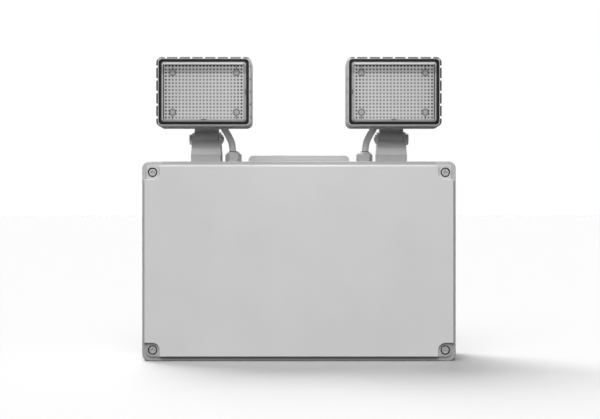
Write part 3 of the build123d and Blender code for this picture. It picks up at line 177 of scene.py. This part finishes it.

# %% [markdown]
# Some marks sit at a known place on a piece. The rim round the cover's raised panel is painted
# darker than the panel, most at its foot, as painted shade beside and under the raised panel, and
# the four stepped corners get painted shade of their own, less of it in the upper two. The
# counterbores and the tops of the cover, the box and its pad are painted darker too, as painted
# shade. The merlons on the heads' rims are painted darker on top and on the outer side, as painted
# shade. These greys were chosen against the photograph. A mark is a mask made from the distance to
# its place, and it is mixed over the colour that the finish already has. Small sums of a position
# are easier to read as one line of text, so a function builds the Math nodes of such a sum from
# the inside out.


# %% Marks at a known place
def sums(tree, start, *steps):
    """Chains Math nodes: each step is (operation, second value or socket) on what came before."""
    value = start
    for operation, second in steps:
        inputs = {0: value} if second is None else {0: value, 1: second}
        value = add_node(tree, "ShaderNodeMath", inputs, operation=operation).outputs[0]
    return value


def band(tree, value, low, high, soft):
    """1 where value is between low and high, falling to 0 over the width soft at both ends."""
    rise = sums(tree, value, ("SUBTRACT", low), ("DIVIDE", soft), ("ADD", 0.5))
    fall = sums(tree, value, ("SUBTRACT", high), ("DIVIDE", -soft), ("ADD", 0.5))
    return sums(tree, rise, ("MINIMUM", fall), ("MINIMUM", 1.0), ("MAXIMUM", 0.0))


def mark(material, mask, mark_hex):
    """Mixes a colour over the finish's own, by a mask of 0 to 1."""
    tree = material.node_tree
    shader = next(node for node in tree.nodes if node.type == "BSDF_PRINCIPLED")
    under = shader.inputs["Base Color"].links[0].from_socket
    over = add_node(
        tree, "ShaderNodeMix", {0: mask, 6: under, 7: linear(mark_hex)}, data_type="RGBA"
    ).outputs[2]
    tree.links.new(over, shader.inputs["Base Color"])


def position(material):
    """The piece's own X, Y and Z in millimetres, as three sockets."""
    tree = material.node_tree
    place = next(node for node in tree.nodes if node.type == "TEX_COORD").outputs["Object"]
    in_mm = add_node(tree, "ShaderNodeVectorMath", {0: place, 3: 1000.0}, operation="SCALE")
    return add_node(tree, "ShaderNodeSeparateXYZ", {"Vector": in_mm.outputs[0]}).outputs


print("mark helpers ready")

# %% Painted shade on the rim and corners of the cover
# A band with one edge only runs on to FAR_MM, which lies outside every piece.
FAR_MM = 999.0
MID_Z_MM, TOP_Z_MM, FOOT_TOP_MM = 95.5, 190.8, 4.0
RIM_Y_MM, RIM_SIDE_Y_MM = -43.0, -38.6
RIM_HALF_X_MM, RIM_HALF_Z_MM = 146.7, 92.4
tree = cover_abs.node_tree
x, y, z = position(cover_abs)
wide = sums(tree, x, ("ABSOLUTE", None))
tall = sums(tree, z, ("SUBTRACT", MID_Z_MM), ("ABSOLUTE", None))
behind_panel = band(tree, y, RIM_Y_MM, RIM_SIDE_Y_MM, 0.4)
# The rim round the raised panel is painted darker than the panel: painted shade beside and under
# it.
rim_shade = sums(
    tree,
    band(tree, wide, RIM_HALF_X_MM, FAR_MM, 0.3),
    ("MAXIMUM", band(tree, tall, RIM_HALF_Z_MM, FAR_MM, 0.3)),
    ("MULTIPLY", behind_panel),
)
mark(cover_abs, rim_shade, "#acacac")
# The foot of the rim is painted darker still: painted shade under the panel's lower edge.
foot_shade = sums(tree, band(tree, z, -FAR_MM, FOOT_TOP_MM, 0.3), ("MULTIPLY", behind_panel))
mark(cover_abs, foot_shade, "#9c9c9c")
# The corners get painted shade, which fades in over a broad width across, so that no hard step
# shows beside them.
CORNER_X_MM, CORNER_DZ_MM, CORNER_FADE_MM = 132.5, 77.5, 7.0
corner_shade = sums(
    tree,
    band(tree, wide, CORNER_X_MM, FAR_MM, CORNER_FADE_MM),
    ("MULTIPLY", band(tree, tall, CORNER_DZ_MM, FAR_MM, 0.5)),
    ("MULTIPLY", behind_panel),
)
mark(cover_abs, corner_shade, "#a8a8a8")
# The upper two corners, rim included, are painted lighter, as painted light, apart from one thin
# line of painted shade just inside the rim.
CORNER_LINE_MM = 0.6
upper_half = band(tree, z, MID_Z_MM, FAR_MM, 1.0)
in_upper = sums(tree, corner_shade, ("MULTIPLY", upper_half))
mark(cover_abs, in_upper, "#cdcdcd")
mark(cover_abs, sums(tree, rim_shade, ("MULTIPLY", in_upper)), "#c3c3c3")
corner_shade_line = sums(
    tree,
    band(tree, wide, RIM_HALF_X_MM - CORNER_LINE_MM, RIM_HALF_X_MM, 0.2),
    ("MULTIPLY", band(tree, tall, 0.0, RIM_HALF_Z_MM, 0.3)),
    ("MULTIPLY", in_upper),
)
mark(cover_abs, corner_shade_line, "#a6a6a6")
print("rim marked from", RIM_HALF_X_MM, "mm to the side of the middle")

# %% Painted shade on the tops and in the counterbores
SCREW_X_MM, SCREW_DZ_MM, RECESS_SHADE_RADIUS_MM = 140.0, 85.0, 4.5
# The top of the cover is painted darker: painted shade.
mark(cover_abs, band(tree, z, TOP_Z_MM, FAR_MM, 0.2), "#b4b4b4")
# The counterbores round the cover screws are painted nearly black: painted shade in the recesses.
across = sums(tree, wide, ("SUBTRACT", SCREW_X_MM), ("POWER", 2.0))
along = sums(tree, tall, ("SUBTRACT", SCREW_DZ_MM), ("POWER", 2.0))
from_screw = sums(tree, across, ("ADD", along), ("SQRT", None))
mark(cover_abs, band(tree, from_screw, -FAR_MM, RECESS_SHADE_RADIUS_MM, 0.2), "#484847")
# The top of the box and its pad are painted darker: painted shade.
height = position(box_abs)[2]
mark(box_abs, band(box_abs.node_tree, height, TOP_Z_MM, FAR_MM, 0.2), "#b4b4b4")
print("painted shade round screws at", SCREW_X_MM, "mm from the middle")

# %% Painted shade on the merlons of the heads
HEAD_X_MM, HEAD_Z_MM, RIM_BACK_Y_MM = 90.7, 257.1, -43.4
RIM_HALF_W_MM, RIM_HALF_H_MM = 43.7, 31.8
tree = coated_casting.node_tree
x, y, z = position(coated_casting)
outward = sums(tree, x, ("ABSOLUTE", None), ("SUBTRACT", HEAD_X_MM))
upward = sums(tree, z, ("SUBTRACT", HEAD_Z_MM))
# The merlons are painted darker on top and on the outer side: painted shade.
merlons = sums(
    tree,
    band(tree, outward, RIM_HALF_W_MM, FAR_MM, 0.4),
    ("MAXIMUM", band(tree, upward, RIM_HALF_H_MM, FAR_MM, 0.4)),
    ("MULTIPLY", band(tree, y, -FAR_MM, RIM_BACK_Y_MM, 0.3)),
)
mark(coated_casting, merlons, "#5c5c5c")
print("merlons marked in front of", RIM_BACK_Y_MM, "mm")

# %% [markdown]
# Screws and bolts are plated with bright zinc. Plating follows the turning marks of the blank, so
# the metal has fine short scratches and a roughness that changes from patch to patch. The tray is
# hot dip zinc sheet, whose crystals show as large flat flakes, so its roughness and tint come
# from Voronoi cells. Both keep the default IOR, because a metal's shine is in its base colour.


# %% Metals
def plated(name, bright_hex, dull_hex, patch_mm, scratch_mm, roughness, flakes=False):
    """Patches of patch_mm set colour and roughness; scratches are noise stretched ten times."""
    material, tree, shader, place = new_finish(name)
    if flakes:
        patch = add_node(
            tree, "ShaderNodeTexVoronoi", {"Vector": place, "Scale": per_metre(patch_mm)}
        ).outputs["Color"]
        patch = add_node(tree, "ShaderNodeSeparateColor", {"Color": patch}).outputs["Red"]
    else:
        patch = add_node(
            tree, "ShaderNodeTexNoise", {"Vector": place, "Scale": per_metre(patch_mm)}
        ).outputs["Fac"]
    tint = add_node(
        tree,
        "ShaderNodeMix",
        {0: patch, 6: linear(bright_hex), 7: linear(dull_hex)},
        data_type="RGBA",
    ).outputs[2]
    gloss = add_node(
        tree,
        "ShaderNodeMapRange",
        {"Value": patch, "To Min": roughness - 0.08, "To Max": roughness + 0.1},
    ).outputs["Result"]
    long_way = add_node(
        tree, "ShaderNodeMapping", {"Vector": place, "Scale": (1.0, 10.0, 10.0)}
    ).outputs["Vector"]
    scratch = add_node(
        tree,
        "ShaderNodeTexNoise",
        {"Vector": long_way, "Scale": per_metre(scratch_mm) / 10.0, "Detail": 3.0},
    ).outputs["Fac"]
    bump = add_node(
        tree, "ShaderNodeBump", {"Height": scratch, "Strength": 0.3, "Distance": 0.02 * MM}
    ).outputs["Normal"]
    shader.inputs["Metallic"].default_value = 1.0
    tree.links.new(tint, shader.inputs["Base Color"])
    tree.links.new(gloss, shader.inputs["Roughness"])
    tree.links.new(bump, shader.inputs["Normal"])
    return material


# Bright zinc on steel screws: light grey, patchy gloss.
screw_zinc = plated("zinc plated steel", "#d6d4d2", "#c2c0be", 3.0, 0.3, 0.6)
# Zinc flake coating on the small screws behind the lens: dull mid grey.
screw_flake = plated("zinc flake coated steel", "#8d8d8c", "#6f6f6e", 2.0, 0.3, 0.6)
# Hot dip zinc sheet: cooler grey with flakes about 9 mm across.
sheet_zinc = plated("zinc coated sheet", "#b9bcbe", "#a4a8ab", 9.0, 0.5, 0.38, flakes=True)
# Varnished core sheets of the transformer: nearly black steel.
core_steel = plated("varnished core steel", "#4a4846", "#33312f", 5.0, 0.5, 0.45)
# Aluminium cans of the two capacitors, seen through a thin dark sleeve.
can_sleeve = skin("shrunk PVC sleeve", "#1b2233", "#222a3e", 7.0, 0.4, 0.02, 0.25)
print("metals added, finishes now", len(bpy.data.materials))

# %% [markdown]
# The control board is glass fibre laminate under a green lacquer. The weave of the glass shows
# through as a fine grid, drawn as two waves at right angles. The lamp boards are the same
# laminate under a white lacquer that throws light forward.


# %% Circuit boards
FULL_TURN = 6.2832  # twice pi


def laminate(name, lacquer_hex, weave_hex, thread_mm, roughness):
    """Two wave patterns at right angles, set by thread_mm, mixed into the lacquer's colour."""
    material, tree, shader, place = new_finish(name)
    threads = [
        add_node(
            tree,
            "ShaderNodeTexWave",
            {"Vector": place, "Scale": per_metre(thread_mm) / FULL_TURN},
            bands_direction=way,
        ).outputs["Fac"]
        for way in ("X", "Z")
    ]
    weave = add_node(
        tree, "ShaderNodeMath", {0: threads[0], 1: threads[1]}, operation="MULTIPLY"
    ).outputs[0]
    tint = add_node(
        tree,
        "ShaderNodeMix",
        {0: weave, 6: linear(lacquer_hex), 7: linear(weave_hex)},
        data_type="RGBA",
    ).outputs[2]
    tree.links.new(tint, shader.inputs["Base Color"])
    shader.inputs["Roughness"].default_value = roughness
    return material


board_green = laminate("green lacquered laminate", "#1f5a34", "#2c6b42", 0.6, 0.32)
board_white = laminate("white lacquered laminate", "#f0f0ee", "#e6e6e3", 0.6, 0.4)
print("boards added, finishes now", len(bpy.data.materials))

# %% [markdown]
# Each head is closed by a clear polycarbonate lens. Its outer face is smooth and its inner face
# is moulded into 23 by 16 small pyramids, which are in the solid. A fully refracting shader needs
# very many samples to let light through, so the lens here is a thin sheet: about half of it is
# transparent and half is a bright frosted skin with the sheet's own reflection. What real prisms
# do to the light is drawn in both halves as one grey level, which is built up here step by step.
# The two lenses mirror each other in X, so one finish that works with the size of X does both.


# %% Clear lens: where a point lies
def short_of(tree, value, limit):
    """How far a value still is from its limit: the limit less the value."""
    return sums(tree, value, ("SUBTRACT", limit), ("MULTIPLY", -1.0))


def kept(tree, mask, share=1.0):
    """What is left where a mask takes away a share of the light: 1 less share times mask."""
    return sums(tree, mask, ("MULTIPLY", -share), ("ADD", 1.0))


BLOCK_HALF_W_MM, BLOCK_HALF_H_MM, CORNER_MM = 40.95, 29.1, 3.0
lens_pc, tree, shader, _ = new_finish("clear polycarbonate")
x, _, z = position(lens_pc)
u = sums(tree, x, ("ABSOLUTE", None), ("SUBTRACT", HEAD_X_MM))
w = sums(tree, z, ("SUBTRACT", HEAD_Z_MM))
from_side = short_of(tree, sums(tree, u, ("ABSOLUTE", None)), BLOCK_HALF_W_MM)
from_level = short_of(tree, sums(tree, w, ("ABSOLUTE", None)), BLOCK_HALF_H_MM)
from_outside = short_of(tree, u, BLOCK_HALF_W_MM)
from_inside = sums(tree, u, ("ADD", BLOCK_HALF_W_MM))
from_top = short_of(tree, w, BLOCK_HALF_H_MM)
from_bottom = sums(tree, w, ("ADD", BLOCK_HALF_H_MM))
# How far in from the edge of the lens: its corners are round, so there it is the corner's radius
# less the distance to the middle of the corner.
short = [
    sums(tree, way, ("MULTIPLY", -1.0), ("ADD", CORNER_MM), ("MAXIMUM", 0.0), ("POWER", 2.0))
    for way in (from_side, from_level)
]
round_part = sums(tree, short[0], ("ADD", short[1]), ("SQRT", None))
inset = sums(
    tree, from_side, ("MINIMUM", from_level), ("MAXIMUM", CORNER_MM), ("SUBTRACT", round_part)
)
print("lens block", 2 * BLOCK_HALF_W_MM, "by", 2 * BLOCK_HALF_H_MM, "mm")

# %% [markdown]
# The light that a prism turns away is missing most at its tip, so the grey darkens towards each
# tip. Near the top and the sides of the lens the tips are painted darker still, as painted shade.
# The slope round the prisms has no tips.

# %% Clear lens: the prisms
PRISM_PITCH_MM, FIELD_INSET_MM = 3.27, 3.4
# The middle of a cell is where u is a whole number of pitches, and w a whole number and a half.
reach = [
    sums(tree, side_way, ("DIVIDE", PRISM_PITCH_MM), ("ADD", shift), ("FRACT", None),
         ("SUBTRACT", 0.5), ("ABSOLUTE", None))
    for side_way, shift in ((u, 0.5), (w, 0.0))
]
from_tip = sums(tree, reach[0], ("MAXIMUM", reach[1]))
tip_shade = add_node(
    tree,
    "ShaderNodeMapRange",
    {"Value": sums(tree, from_side, ("MINIMUM", from_top)),
     "From Min": 5.0, "From Max": 15.0, "To Min": 0.12, "To Max": 0.4},
).outputs["Result"]
tip = add_node(
    tree,
    "ShaderNodeMapRange",
    {"Value": from_tip, "From Min": 0.16, "From Max": 0.37, "To Min": tip_shade, "To Max": 1.0},
).outputs["Result"]
tip = sums(tree, tip, ("MAXIMUM", band(tree, inset, -FAR_MM, FIELD_INSET_MM, 0.3)))
print("prism pitch", PRISM_PITCH_MM, "mm")

# %% [markdown]
# The wall outside the slope stands against the black gasket, and the gasket seen through it is
# painted on as a dark band, a painted view of the gasket. The corner of that wall is painted as a
# dark line of shade at the top and on the outer side. The slope on the inner side turns away from
# the light and is painted darker, as painted shade, and its foot has a short groove, as has the
# foot of the slope below; both grooves are painted dark, as painted shade.

# %% Clear lens: its edge
WALL_INSET_MM, GROOVE_HALF_MM = 0.75, 2.5


def groove(tree, from_edge, low, high, along_edge):
    """A short line between low and high from an edge, on either side of that edge's middle."""
    near_middle = band(tree, along_edge, -GROOVE_HALF_MM, GROOVE_HALF_MM, 0.3)
    return sums(tree, band(tree, from_edge, low, high, 0.2), ("MULTIPLY", near_middle))


# Painted view of the black gasket in the wall, and painted shade on the inner slope and in the
# grooves.
wall = band(tree, inset, -FAR_MM, WALL_INSET_MM, 0.3)
inner_slope = sums(tree, band(tree, from_inside, 1.2, 3.2, 0.4), ("MULTIPLY", 0.3))
grooves = sums(
    tree,
    groove(tree, from_bottom, 2.3, 3.0, u),
    ("MAXIMUM", groove(tree, from_inside, 0.9, 1.7, w)),
    ("MULTIPLY", 0.75),
)
lost = sums(tree, wall, ("MULTIPLY", 0.85), ("MAXIMUM", inner_slope), ("MAXIMUM", grooves))
tip = sums(tree, kept(tree, lost), ("MULTIPLY", tip))
# Painted lines of shade at the corner of the wall, on the top and the outer side.
top_line = sums(
    tree,
    band(tree, from_top, 3.1, 4.3, 0.5),
    ("MULTIPLY", band(tree, from_side, 2.6, FAR_MM, 0.5)),
)
side_line = sums(
    tree,
    band(tree, from_outside, 2.3, 3.3, 0.5),
    ("MULTIPLY", band(tree, from_level, 3.1, FAR_MM, 0.5)),
)
edge_lines = sums(tree, top_line, ("MAXIMUM", side_line))
lit = sums(tree, kept(tree, edge_lines, 0.92), ("MULTIPLY", tip))
print("lens wall shows the gasket over", WALL_INSET_MM, "mm")

# %% [markdown]
# A screw stands behind each corner of the prisms. Its image through them is painted on as a grey
# disc with a dark edge of painted shade and no tips in it, moved a little inward and down, and a
# painted shadow runs from it out towards the top or bottom of the lens.

# %% Clear lens: the screws behind it
SCREW_U_MM, SCREW_W_MM, HEAD_R_MM = 30.4, 18.9, 3.1
MOVED_IN_MM, MOVED_DOWN_MM = 0.8, 0.6
aside = sums(tree, u, ("ADD", MOVED_IN_MM), ("ABSOLUTE", None), ("SUBTRACT", SCREW_U_MM))
beyond = sums(tree, w, ("ADD", MOVED_DOWN_MM), ("ABSOLUTE", None), ("SUBTRACT", SCREW_W_MM))
from_axis = sums(
    tree, aside, ("POWER", 2.0), ("ADD", sums(tree, beyond, ("POWER", 2.0))), ("SQRT", None)
)
# The painted image of each screw, and its edge of painted shade.
disc = band(tree, from_axis, -FAR_MM, HEAD_R_MM - 0.4, 0.4)
edge = band(tree, from_axis, HEAD_R_MM - 0.5, HEAD_R_MM + 0.4, 0.5)
# A painted shadow from each screw out towards the edge of the lens.
tail_shadow = sums(
    tree, band(tree, aside, -0.5, 0.5, 0.5), ("MULTIPLY", band(tree, beyond, HEAD_R_MM, 6.5, 1.0))
)
dark = kept(tree, sums(tree, edge, ("MAXIMUM", tail_shadow)), 0.6)
in_disc = sums(tree, from_axis, ("MULTIPLY", -0.1), ("ADD", 0.85), ("MULTIPLY", disc))
behind = sums(tree, kept(tree, disc), ("MULTIPLY", lit), ("ADD", in_disc), ("MULTIPLY", dark))
print("screws drawn", 2 * SCREW_U_MM, "by", 2 * SCREW_W_MM, "mm apart")

# %% Clear lens: the sheet
# The rim of the head shades the upper rows of prisms.
upper_rows = band(tree, from_top, 4.3, 11.5, 1.0)
grey = sums(tree, kept(tree, upper_rows, 0.28), ("MULTIPLY", behind))
level = add_node(
    tree, "ShaderNodeCombineColor", {"Red": grey, "Green": grey, "Blue": grey}
).outputs["Color"]
clear = add_node(tree, "ShaderNodeBsdfTransparent", {"Color": level})
tree.links.new(level, shader.inputs["Base Color"])
shader.inputs["Roughness"].default_value = 0.12
shader.inputs["IOR"].default_value = 1.58
FROSTED_SHARE = 0.48
sheet = add_node(
    tree,
    "ShaderNodeMixShader",
    {0: FROSTED_SHARE, 1: clear.outputs["BSDF"], 2: shader.outputs["BSDF"]},
)
output = next(node for node in tree.nodes if node.type == "OUTPUT_MATERIAL")
tree.links.new(sheet.outputs["Shader"], output.inputs["Surface"])
print("lens finish has", len(tree.nodes), "nodes")

# White gloss ABS of the reflector, and the yellow phosphor of the lamps.
reflector_abs = skin("gloss white ABS", "#fafafa", "#f4f4f4", 30.0, 0.5, 0.01, 0.22)
lamp_phosphor = skin("lamp phosphor", "#c9c19a", "#bfb68c", 2.0, 0.3, 0.02, 0.3)
print("lens and lamps added, finishes now", len(bpy.data.materials))

# %% [markdown]
# Every solid now gets its finish. The table names one finish for each kind of piece, and pieces
# that come as a left and right pair share it.

# %% Put the finishes on the solids
FINISH_OF = {
    "box_back": box_abs,
    "front_cover": cover_abs,
    "cover_seal": seal_epdm,
    "cover_screws": screw_zinc,
    "blanking_plug": box_abs,
    "gear_tray": sheet_zinc,
    "tray_screws": screw_zinc,
    "battery": case_black,
    "battery_strap": sheet_zinc,
    "control_board": board_green,
    "board_spacers": nylon_natural,
    "mains_transformer": core_steel,
    "capacitors": can_sleeve,
    "relay": relay_blue,
    "output_terminal": block_green,
    "terminal_block": block_grey,
    "button_housing": case_black,
    "button_nut": case_black,
    "test_button": cap_red,
    "charge_indicator": indicator_pc,
    "foot_gasket": seal_epdm,
    "swivel_foot": fitting_nylon,
    "foot_screws": screw_zinc,
    "gland_body": gland_nylon,
    "gland_nut": gland_nylon,
    "gland_seal": lens_silicone,
    "gland_locknut": gland_nylon,
    "head_lead": sheath_pvc,
    "yoke": yoke_nylon,
    "swivel_nut": screw_zinc,
    "tilt_bolt": screw_zinc,
    "tilt_nut": screw_zinc,
    "head_housing": coated_casting,
    "lens_gasket": lens_silicone,
    "lens": lens_pc,
    "reflector": reflector_abs,
    "lamp_board": board_white,
    "lamps": lamp_phosphor,
    "board_screws": screw_flake,
    "lead_bush": sheath_pvc,
}
dressed = 0
for node_name, piece in nodes.items():
    kind = node_name.removesuffix("_left").removesuffix("_right")
    finish = FINISH_OF[kind]
    piece.data.materials.clear()
    piece.data.materials.append(finish)
    dressed += 1
print("dressed", dressed, "solids")

# %% [markdown]
# A lead runs from its terminal in the box, up through the gland and into the head. It is one
# round sheath 6.5 mm across. The line is a NURBS curve over the few points that set the route.
# The part in the box keeps still and the part in the head moves with it. The part between the
# gland and the bush is cut in two, a lower half towards the arm and an upper half towards the
# head, and neither half is attached to a part.

# %% The route of each lead
LEAD_RADIUS_MM = 3.25
NECK_BOTTOM_MM = 225.35
BOX_TOP_MM = 191.0
TURN_MM = 160.0


def route_of(sign):
    """The points that the lead's centre line is drawn to, in millimetres, foot to head."""
    if sign < 0:
        inside = [
            (40.0, 16.7, 129.0),
            (40.0, 16.7, 155.0),
            (5.0, 2.0, 160.0),
            (-30.0, -10.0, 150.0),
        ]
    else:
        inside = [(60.0, 16.7, 129.0), (60.0, 16.7, 152.0)]
    outside = [
        (sign * 63.6, -20.0, TURN_MM),
        (sign * 63.6, -20.0, BOX_TOP_MM + 14.5),
        (sign * 68.0, -25.2, BOX_TOP_MM + 25.5),
        (sign * 72.8, -32.0, NECK_BOTTOM_MM - 1.85),
        (sign * 72.8, -32.0, NECK_BOTTOM_MM + 5.15),
        (sign * 77.0, -20.0, NECK_BOTTOM_MM + 15.15),
    ]
    return inside + outside


def smooth_line(points_mm, name):
    """Points along a NURBS curve of order 3 over the route, read from Blender's own curve."""
    curve = bpy.data.curves.new(name, "CURVE")
    curve.dimensions = "3D"
    curve.resolution_u = 24
    spline = curve.splines.new("NURBS")
    spline.points.add(len(points_mm) - 1)
    spline.points.foreach_set(
        "co", np.array([(x * MM, y * MM, z * MM, 1.0) for x, y, z in points_mm]).ravel()
    )
    spline.order_u = 3
    spline.use_endpoint_u = True
    holder = bpy.data.objects.new(name, curve)
    mesh = bpy.data.meshes.new_from_object(holder)
    line = np.empty(len(mesh.vertices) * 3)
    mesh.vertices.foreach_get("co", line)
    bpy.data.objects.remove(holder)
    bpy.data.curves.remove(curve)
    bpy.data.meshes.remove(mesh)
    return line.reshape(-1, 3)


lines = {side: smooth_line(route_of(sign), "route") for side, sign in SIDES.items()}
for side, line in lines.items():
    print(side, "lead", round(float(np.linalg.norm(np.diff(line, axis=0), axis=1).sum()), 4), "m")

# %% [markdown]
# The sheath is a surface of two parameters: how far along the line, and the turn round it. At
# each point of the line a frame of two directions square to it is carried along without twist,
# and the ring is the centre plus the radius times cos and sin of the turn along the two.

# %% The sheath along a line
RING = 24


def sheath(line, radius, name, finish):
    """P(i, t) = line[i] + radius * (cos t * side[i] + sin t * up[i]); both ends are closed."""
    ahead = np.gradient(line, axis=0)
    ahead /= np.linalg.norm(ahead, axis=1)[:, None]
    side = np.zeros_like(ahead)
    side[0] = np.cross(ahead[0], (0.0, 1.0, 0.0))
    for i in range(1, len(line)):
        side[i] = side[i - 1] - ahead[i] * np.dot(side[i - 1], ahead[i])
        side[i] /= np.linalg.norm(side[i])
    side[0] /= np.linalg.norm(side[0])
    up = np.cross(ahead, side)
    turn = np.linspace(0.0, 2.0 * math.pi, RING, endpoint=False)[None, :, None]
    rings = line[:, None, :] + radius * (
        np.cos(turn) * side[:, None, :] + np.sin(turn) * up[:, None, :]
    )
    count = len(line)
    row, col = np.meshgrid(np.arange(count - 1), np.arange(RING), indexing="ij")
    a = row * RING + col
    b = row * RING + (col + 1) % RING
    quads = np.stack([a, b, b + RING, a + RING], axis=-1).reshape(-1, 4)
    caps = [list(range(RING))[::-1], list(range((count - 1) * RING, count * RING))]
    mesh = bpy.data.meshes.new(name)
    mesh.from_pydata(rings.reshape(-1, 3).tolist(), [], quads.tolist() + caps)
    mesh.polygons.foreach_set("use_smooth", np.ones(len(mesh.polygons), dtype=bool))
    mesh.update()
    piece = bpy.data.objects.new(name, mesh)
    bpy.context.scene.collection.objects.link(piece)
    mesh.materials.append(finish)
    return piece


# A lead is cut where it leaves the gland, where its lower and upper halves meet, and below the
# bush.
EXIT_Z, MEET_Z, BUSH_Z = 0.2012, 0.2108, 0.2225
for side, line in lines.items():
    low, mid, high = (
        int(np.nonzero(line[:, 2] <= cut_z)[0][-1]) for cut_z in (EXIT_Z, MEET_Z, BUSH_Z)
    )
    stretches = {
        "lead_in_box": line[: low + 1],
        "lead_lower": line[low : mid + 1],
        "lead_upper": line[mid : high + 1],
        "lead_in_head": line[high:],
    }
    inner, lower, upper, inside = (
        sheath(stretch, LEAD_RADIUS_MM * MM, f"{name}_{side}", sheath_pvc)
        for name, stretch in stretches.items()
    )
    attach(inner, "box")
    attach(inside, f"{side}_head")
    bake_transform(lower)
    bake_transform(upper)
    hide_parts(f"head_lead_{side}")
    print(side, "lead cut at", low, mid, high, "of", len(line))

# %% [markdown]
# The studio is a wide pale floor under a white surround. The light is what gives this object its
# shape. A broad soft lamp high in front lights the cover. A second one high behind on the left
# draws the bright line along the top edges and throws the shadow forward to the right. A small
# third one stands close in front of the middle, above the heads. The surround is white
# to the eye but lights the object only weakly, most from above in front and least from behind and
# below, so the sides and undersides go dark and the edges of the white mouldings stand out
# against the white background.

# %% Floor
FLOOR_HALF = 30.0
floor_mesh = bpy.data.meshes.new("studio_floor")
corners = np.array([(-1, -1, 0), (1, -1, 0), (1, 1, 0), (-1, 1, 0)]) * FLOOR_HALF
floor_mesh.from_pydata(corners.tolist(), [], [(0, 1, 2, 3)])
floor = bpy.data.objects.new("studio_floor", floor_mesh)
bpy.context.scene.collection.objects.link(floor)
floor_finish, floor_tree, floor_shader, _ = new_finish("matt white paper")
floor_shader.inputs["Base Color"].default_value = linear("#c0c0c0")
floor_shader.inputs["Roughness"].default_value = 0.9
floor_shader.inputs["Specular IOR Level"].default_value = 0.0
floor_mesh.materials.append(floor_finish)
floor.visible_diffuse = False
floor.visible_glossy = False
print("floor", 2 * FLOOR_HALF, "m wide")


# %% Lamps
def soft_sun(name, azimuth, elevation, spread, strength):
    """A distant lamp as wide as spread degrees, so the floor is lit alike near and far.
    Azimuth 0 shines from the camera's side towards the wall, 90 from the right."""
    turn, rise = math.radians(azimuth), math.radians(elevation)
    source = Vector(
        (math.sin(turn) * math.cos(rise), -math.cos(turn) * math.cos(rise), math.sin(rise))
    )
    lamp = bpy.data.lights.new(name, "SUN")
    lamp.angle = math.radians(spread)
    lamp.energy = strength
    holder = bpy.data.objects.new(name, lamp)
    holder.location = source * 3.0
    holder.rotation_euler = (-source).to_track_quat("-Z", "Y").to_euler()
    bpy.context.scene.collection.objects.link(holder)
    return holder


soft_sun("front softbox", -5.0, 42.0, 46.0, 2.48)
soft_sun("back softbox", -152.0, 50.0, 44.0, 4.7)
# The fill stands near, so it lights what is close to it more than the outer parts.
FILL_PLACE, FILL_WAY = (0.0, -0.15, 0.33), (0.0, 0.15, -0.1)
near_lamp = bpy.data.lights.new("centre fill", "AREA")
near_lamp.size = 0.12
near_lamp.energy = 0.05
near_holder = bpy.data.objects.new("centre fill", near_lamp)
near_holder.location = FILL_PLACE
near_holder.rotation_euler = Vector(FILL_WAY).to_track_quat("-Z", "Y").to_euler()
bpy.context.scene.collection.objects.link(near_holder)

# %% Surround
world = bpy.data.worlds.new("white surround")
bpy.context.scene.world = world
world.use_nodes = True
sky = world.node_tree
sky.nodes.clear()
look = add_node(sky, "ShaderNodeTexCoord").outputs["Generated"]
towards = add_node(
    sky, "ShaderNodeVectorMath", {0: look, 1: (0.0, -0.8, 0.6)}, operation="DOT_PRODUCT"
).outputs["Value"]
fall = add_node(
    sky,
    "ShaderNodeMapRange",
    {"Value": towards, "From Min": -0.1, "From Max": 0.9, "To Min": 0.05, "To Max": 0.3},
).outputs["Result"]
dim = add_node(sky, "ShaderNodeBackground", {"Color": (1, 1, 1, 1), "Strength": fall})
white = add_node(sky, "ShaderNodeBackground", {"Color": (1, 1, 1, 1), "Strength": 1.0})
seen = add_node(sky, "ShaderNodeLightPath").outputs["Is Camera Ray"]
surround = add_node(
    sky,
    "ShaderNodeMixShader",
    {0: seen, 1: dim.outputs["Background"], 2: white.outputs["Background"]},
)
add_node(sky, "ShaderNodeOutputWorld", {"Surface": surround.outputs["Shader"]})
bpy.context.scene.view_settings.view_transform = "Standard"

# %% [markdown]
# The camera looks level at the cover from straight in front, 1.35 m away, with a lens of 85 mm on
# a 36 mm wide frame, which is how far and how long the photograph was taken.

# %% Camera
CAMERA_X, CAMERA_HEIGHT, CAMERA_DISTANCE = 0.001, 0.145, 1.35
COVER_Y = -0.045
LENS_MM, SENSOR_MM = 84.9, 36.0
camera_data = bpy.data.cameras.new("camera")
camera_data.sensor_width = SENSOR_MM
camera_data.lens = LENS_MM
camera = bpy.data.objects.new("camera", camera_data)
camera.location = (CAMERA_X, COVER_Y - CAMERA_DISTANCE, CAMERA_HEIGHT)
camera.rotation_euler = (math.radians(90.0), 0.0, 0.0)
bpy.context.scene.collection.objects.link(camera)
bpy.context.scene.camera = camera
print("camera at", tuple(round(c, 3) for c in camera.location))
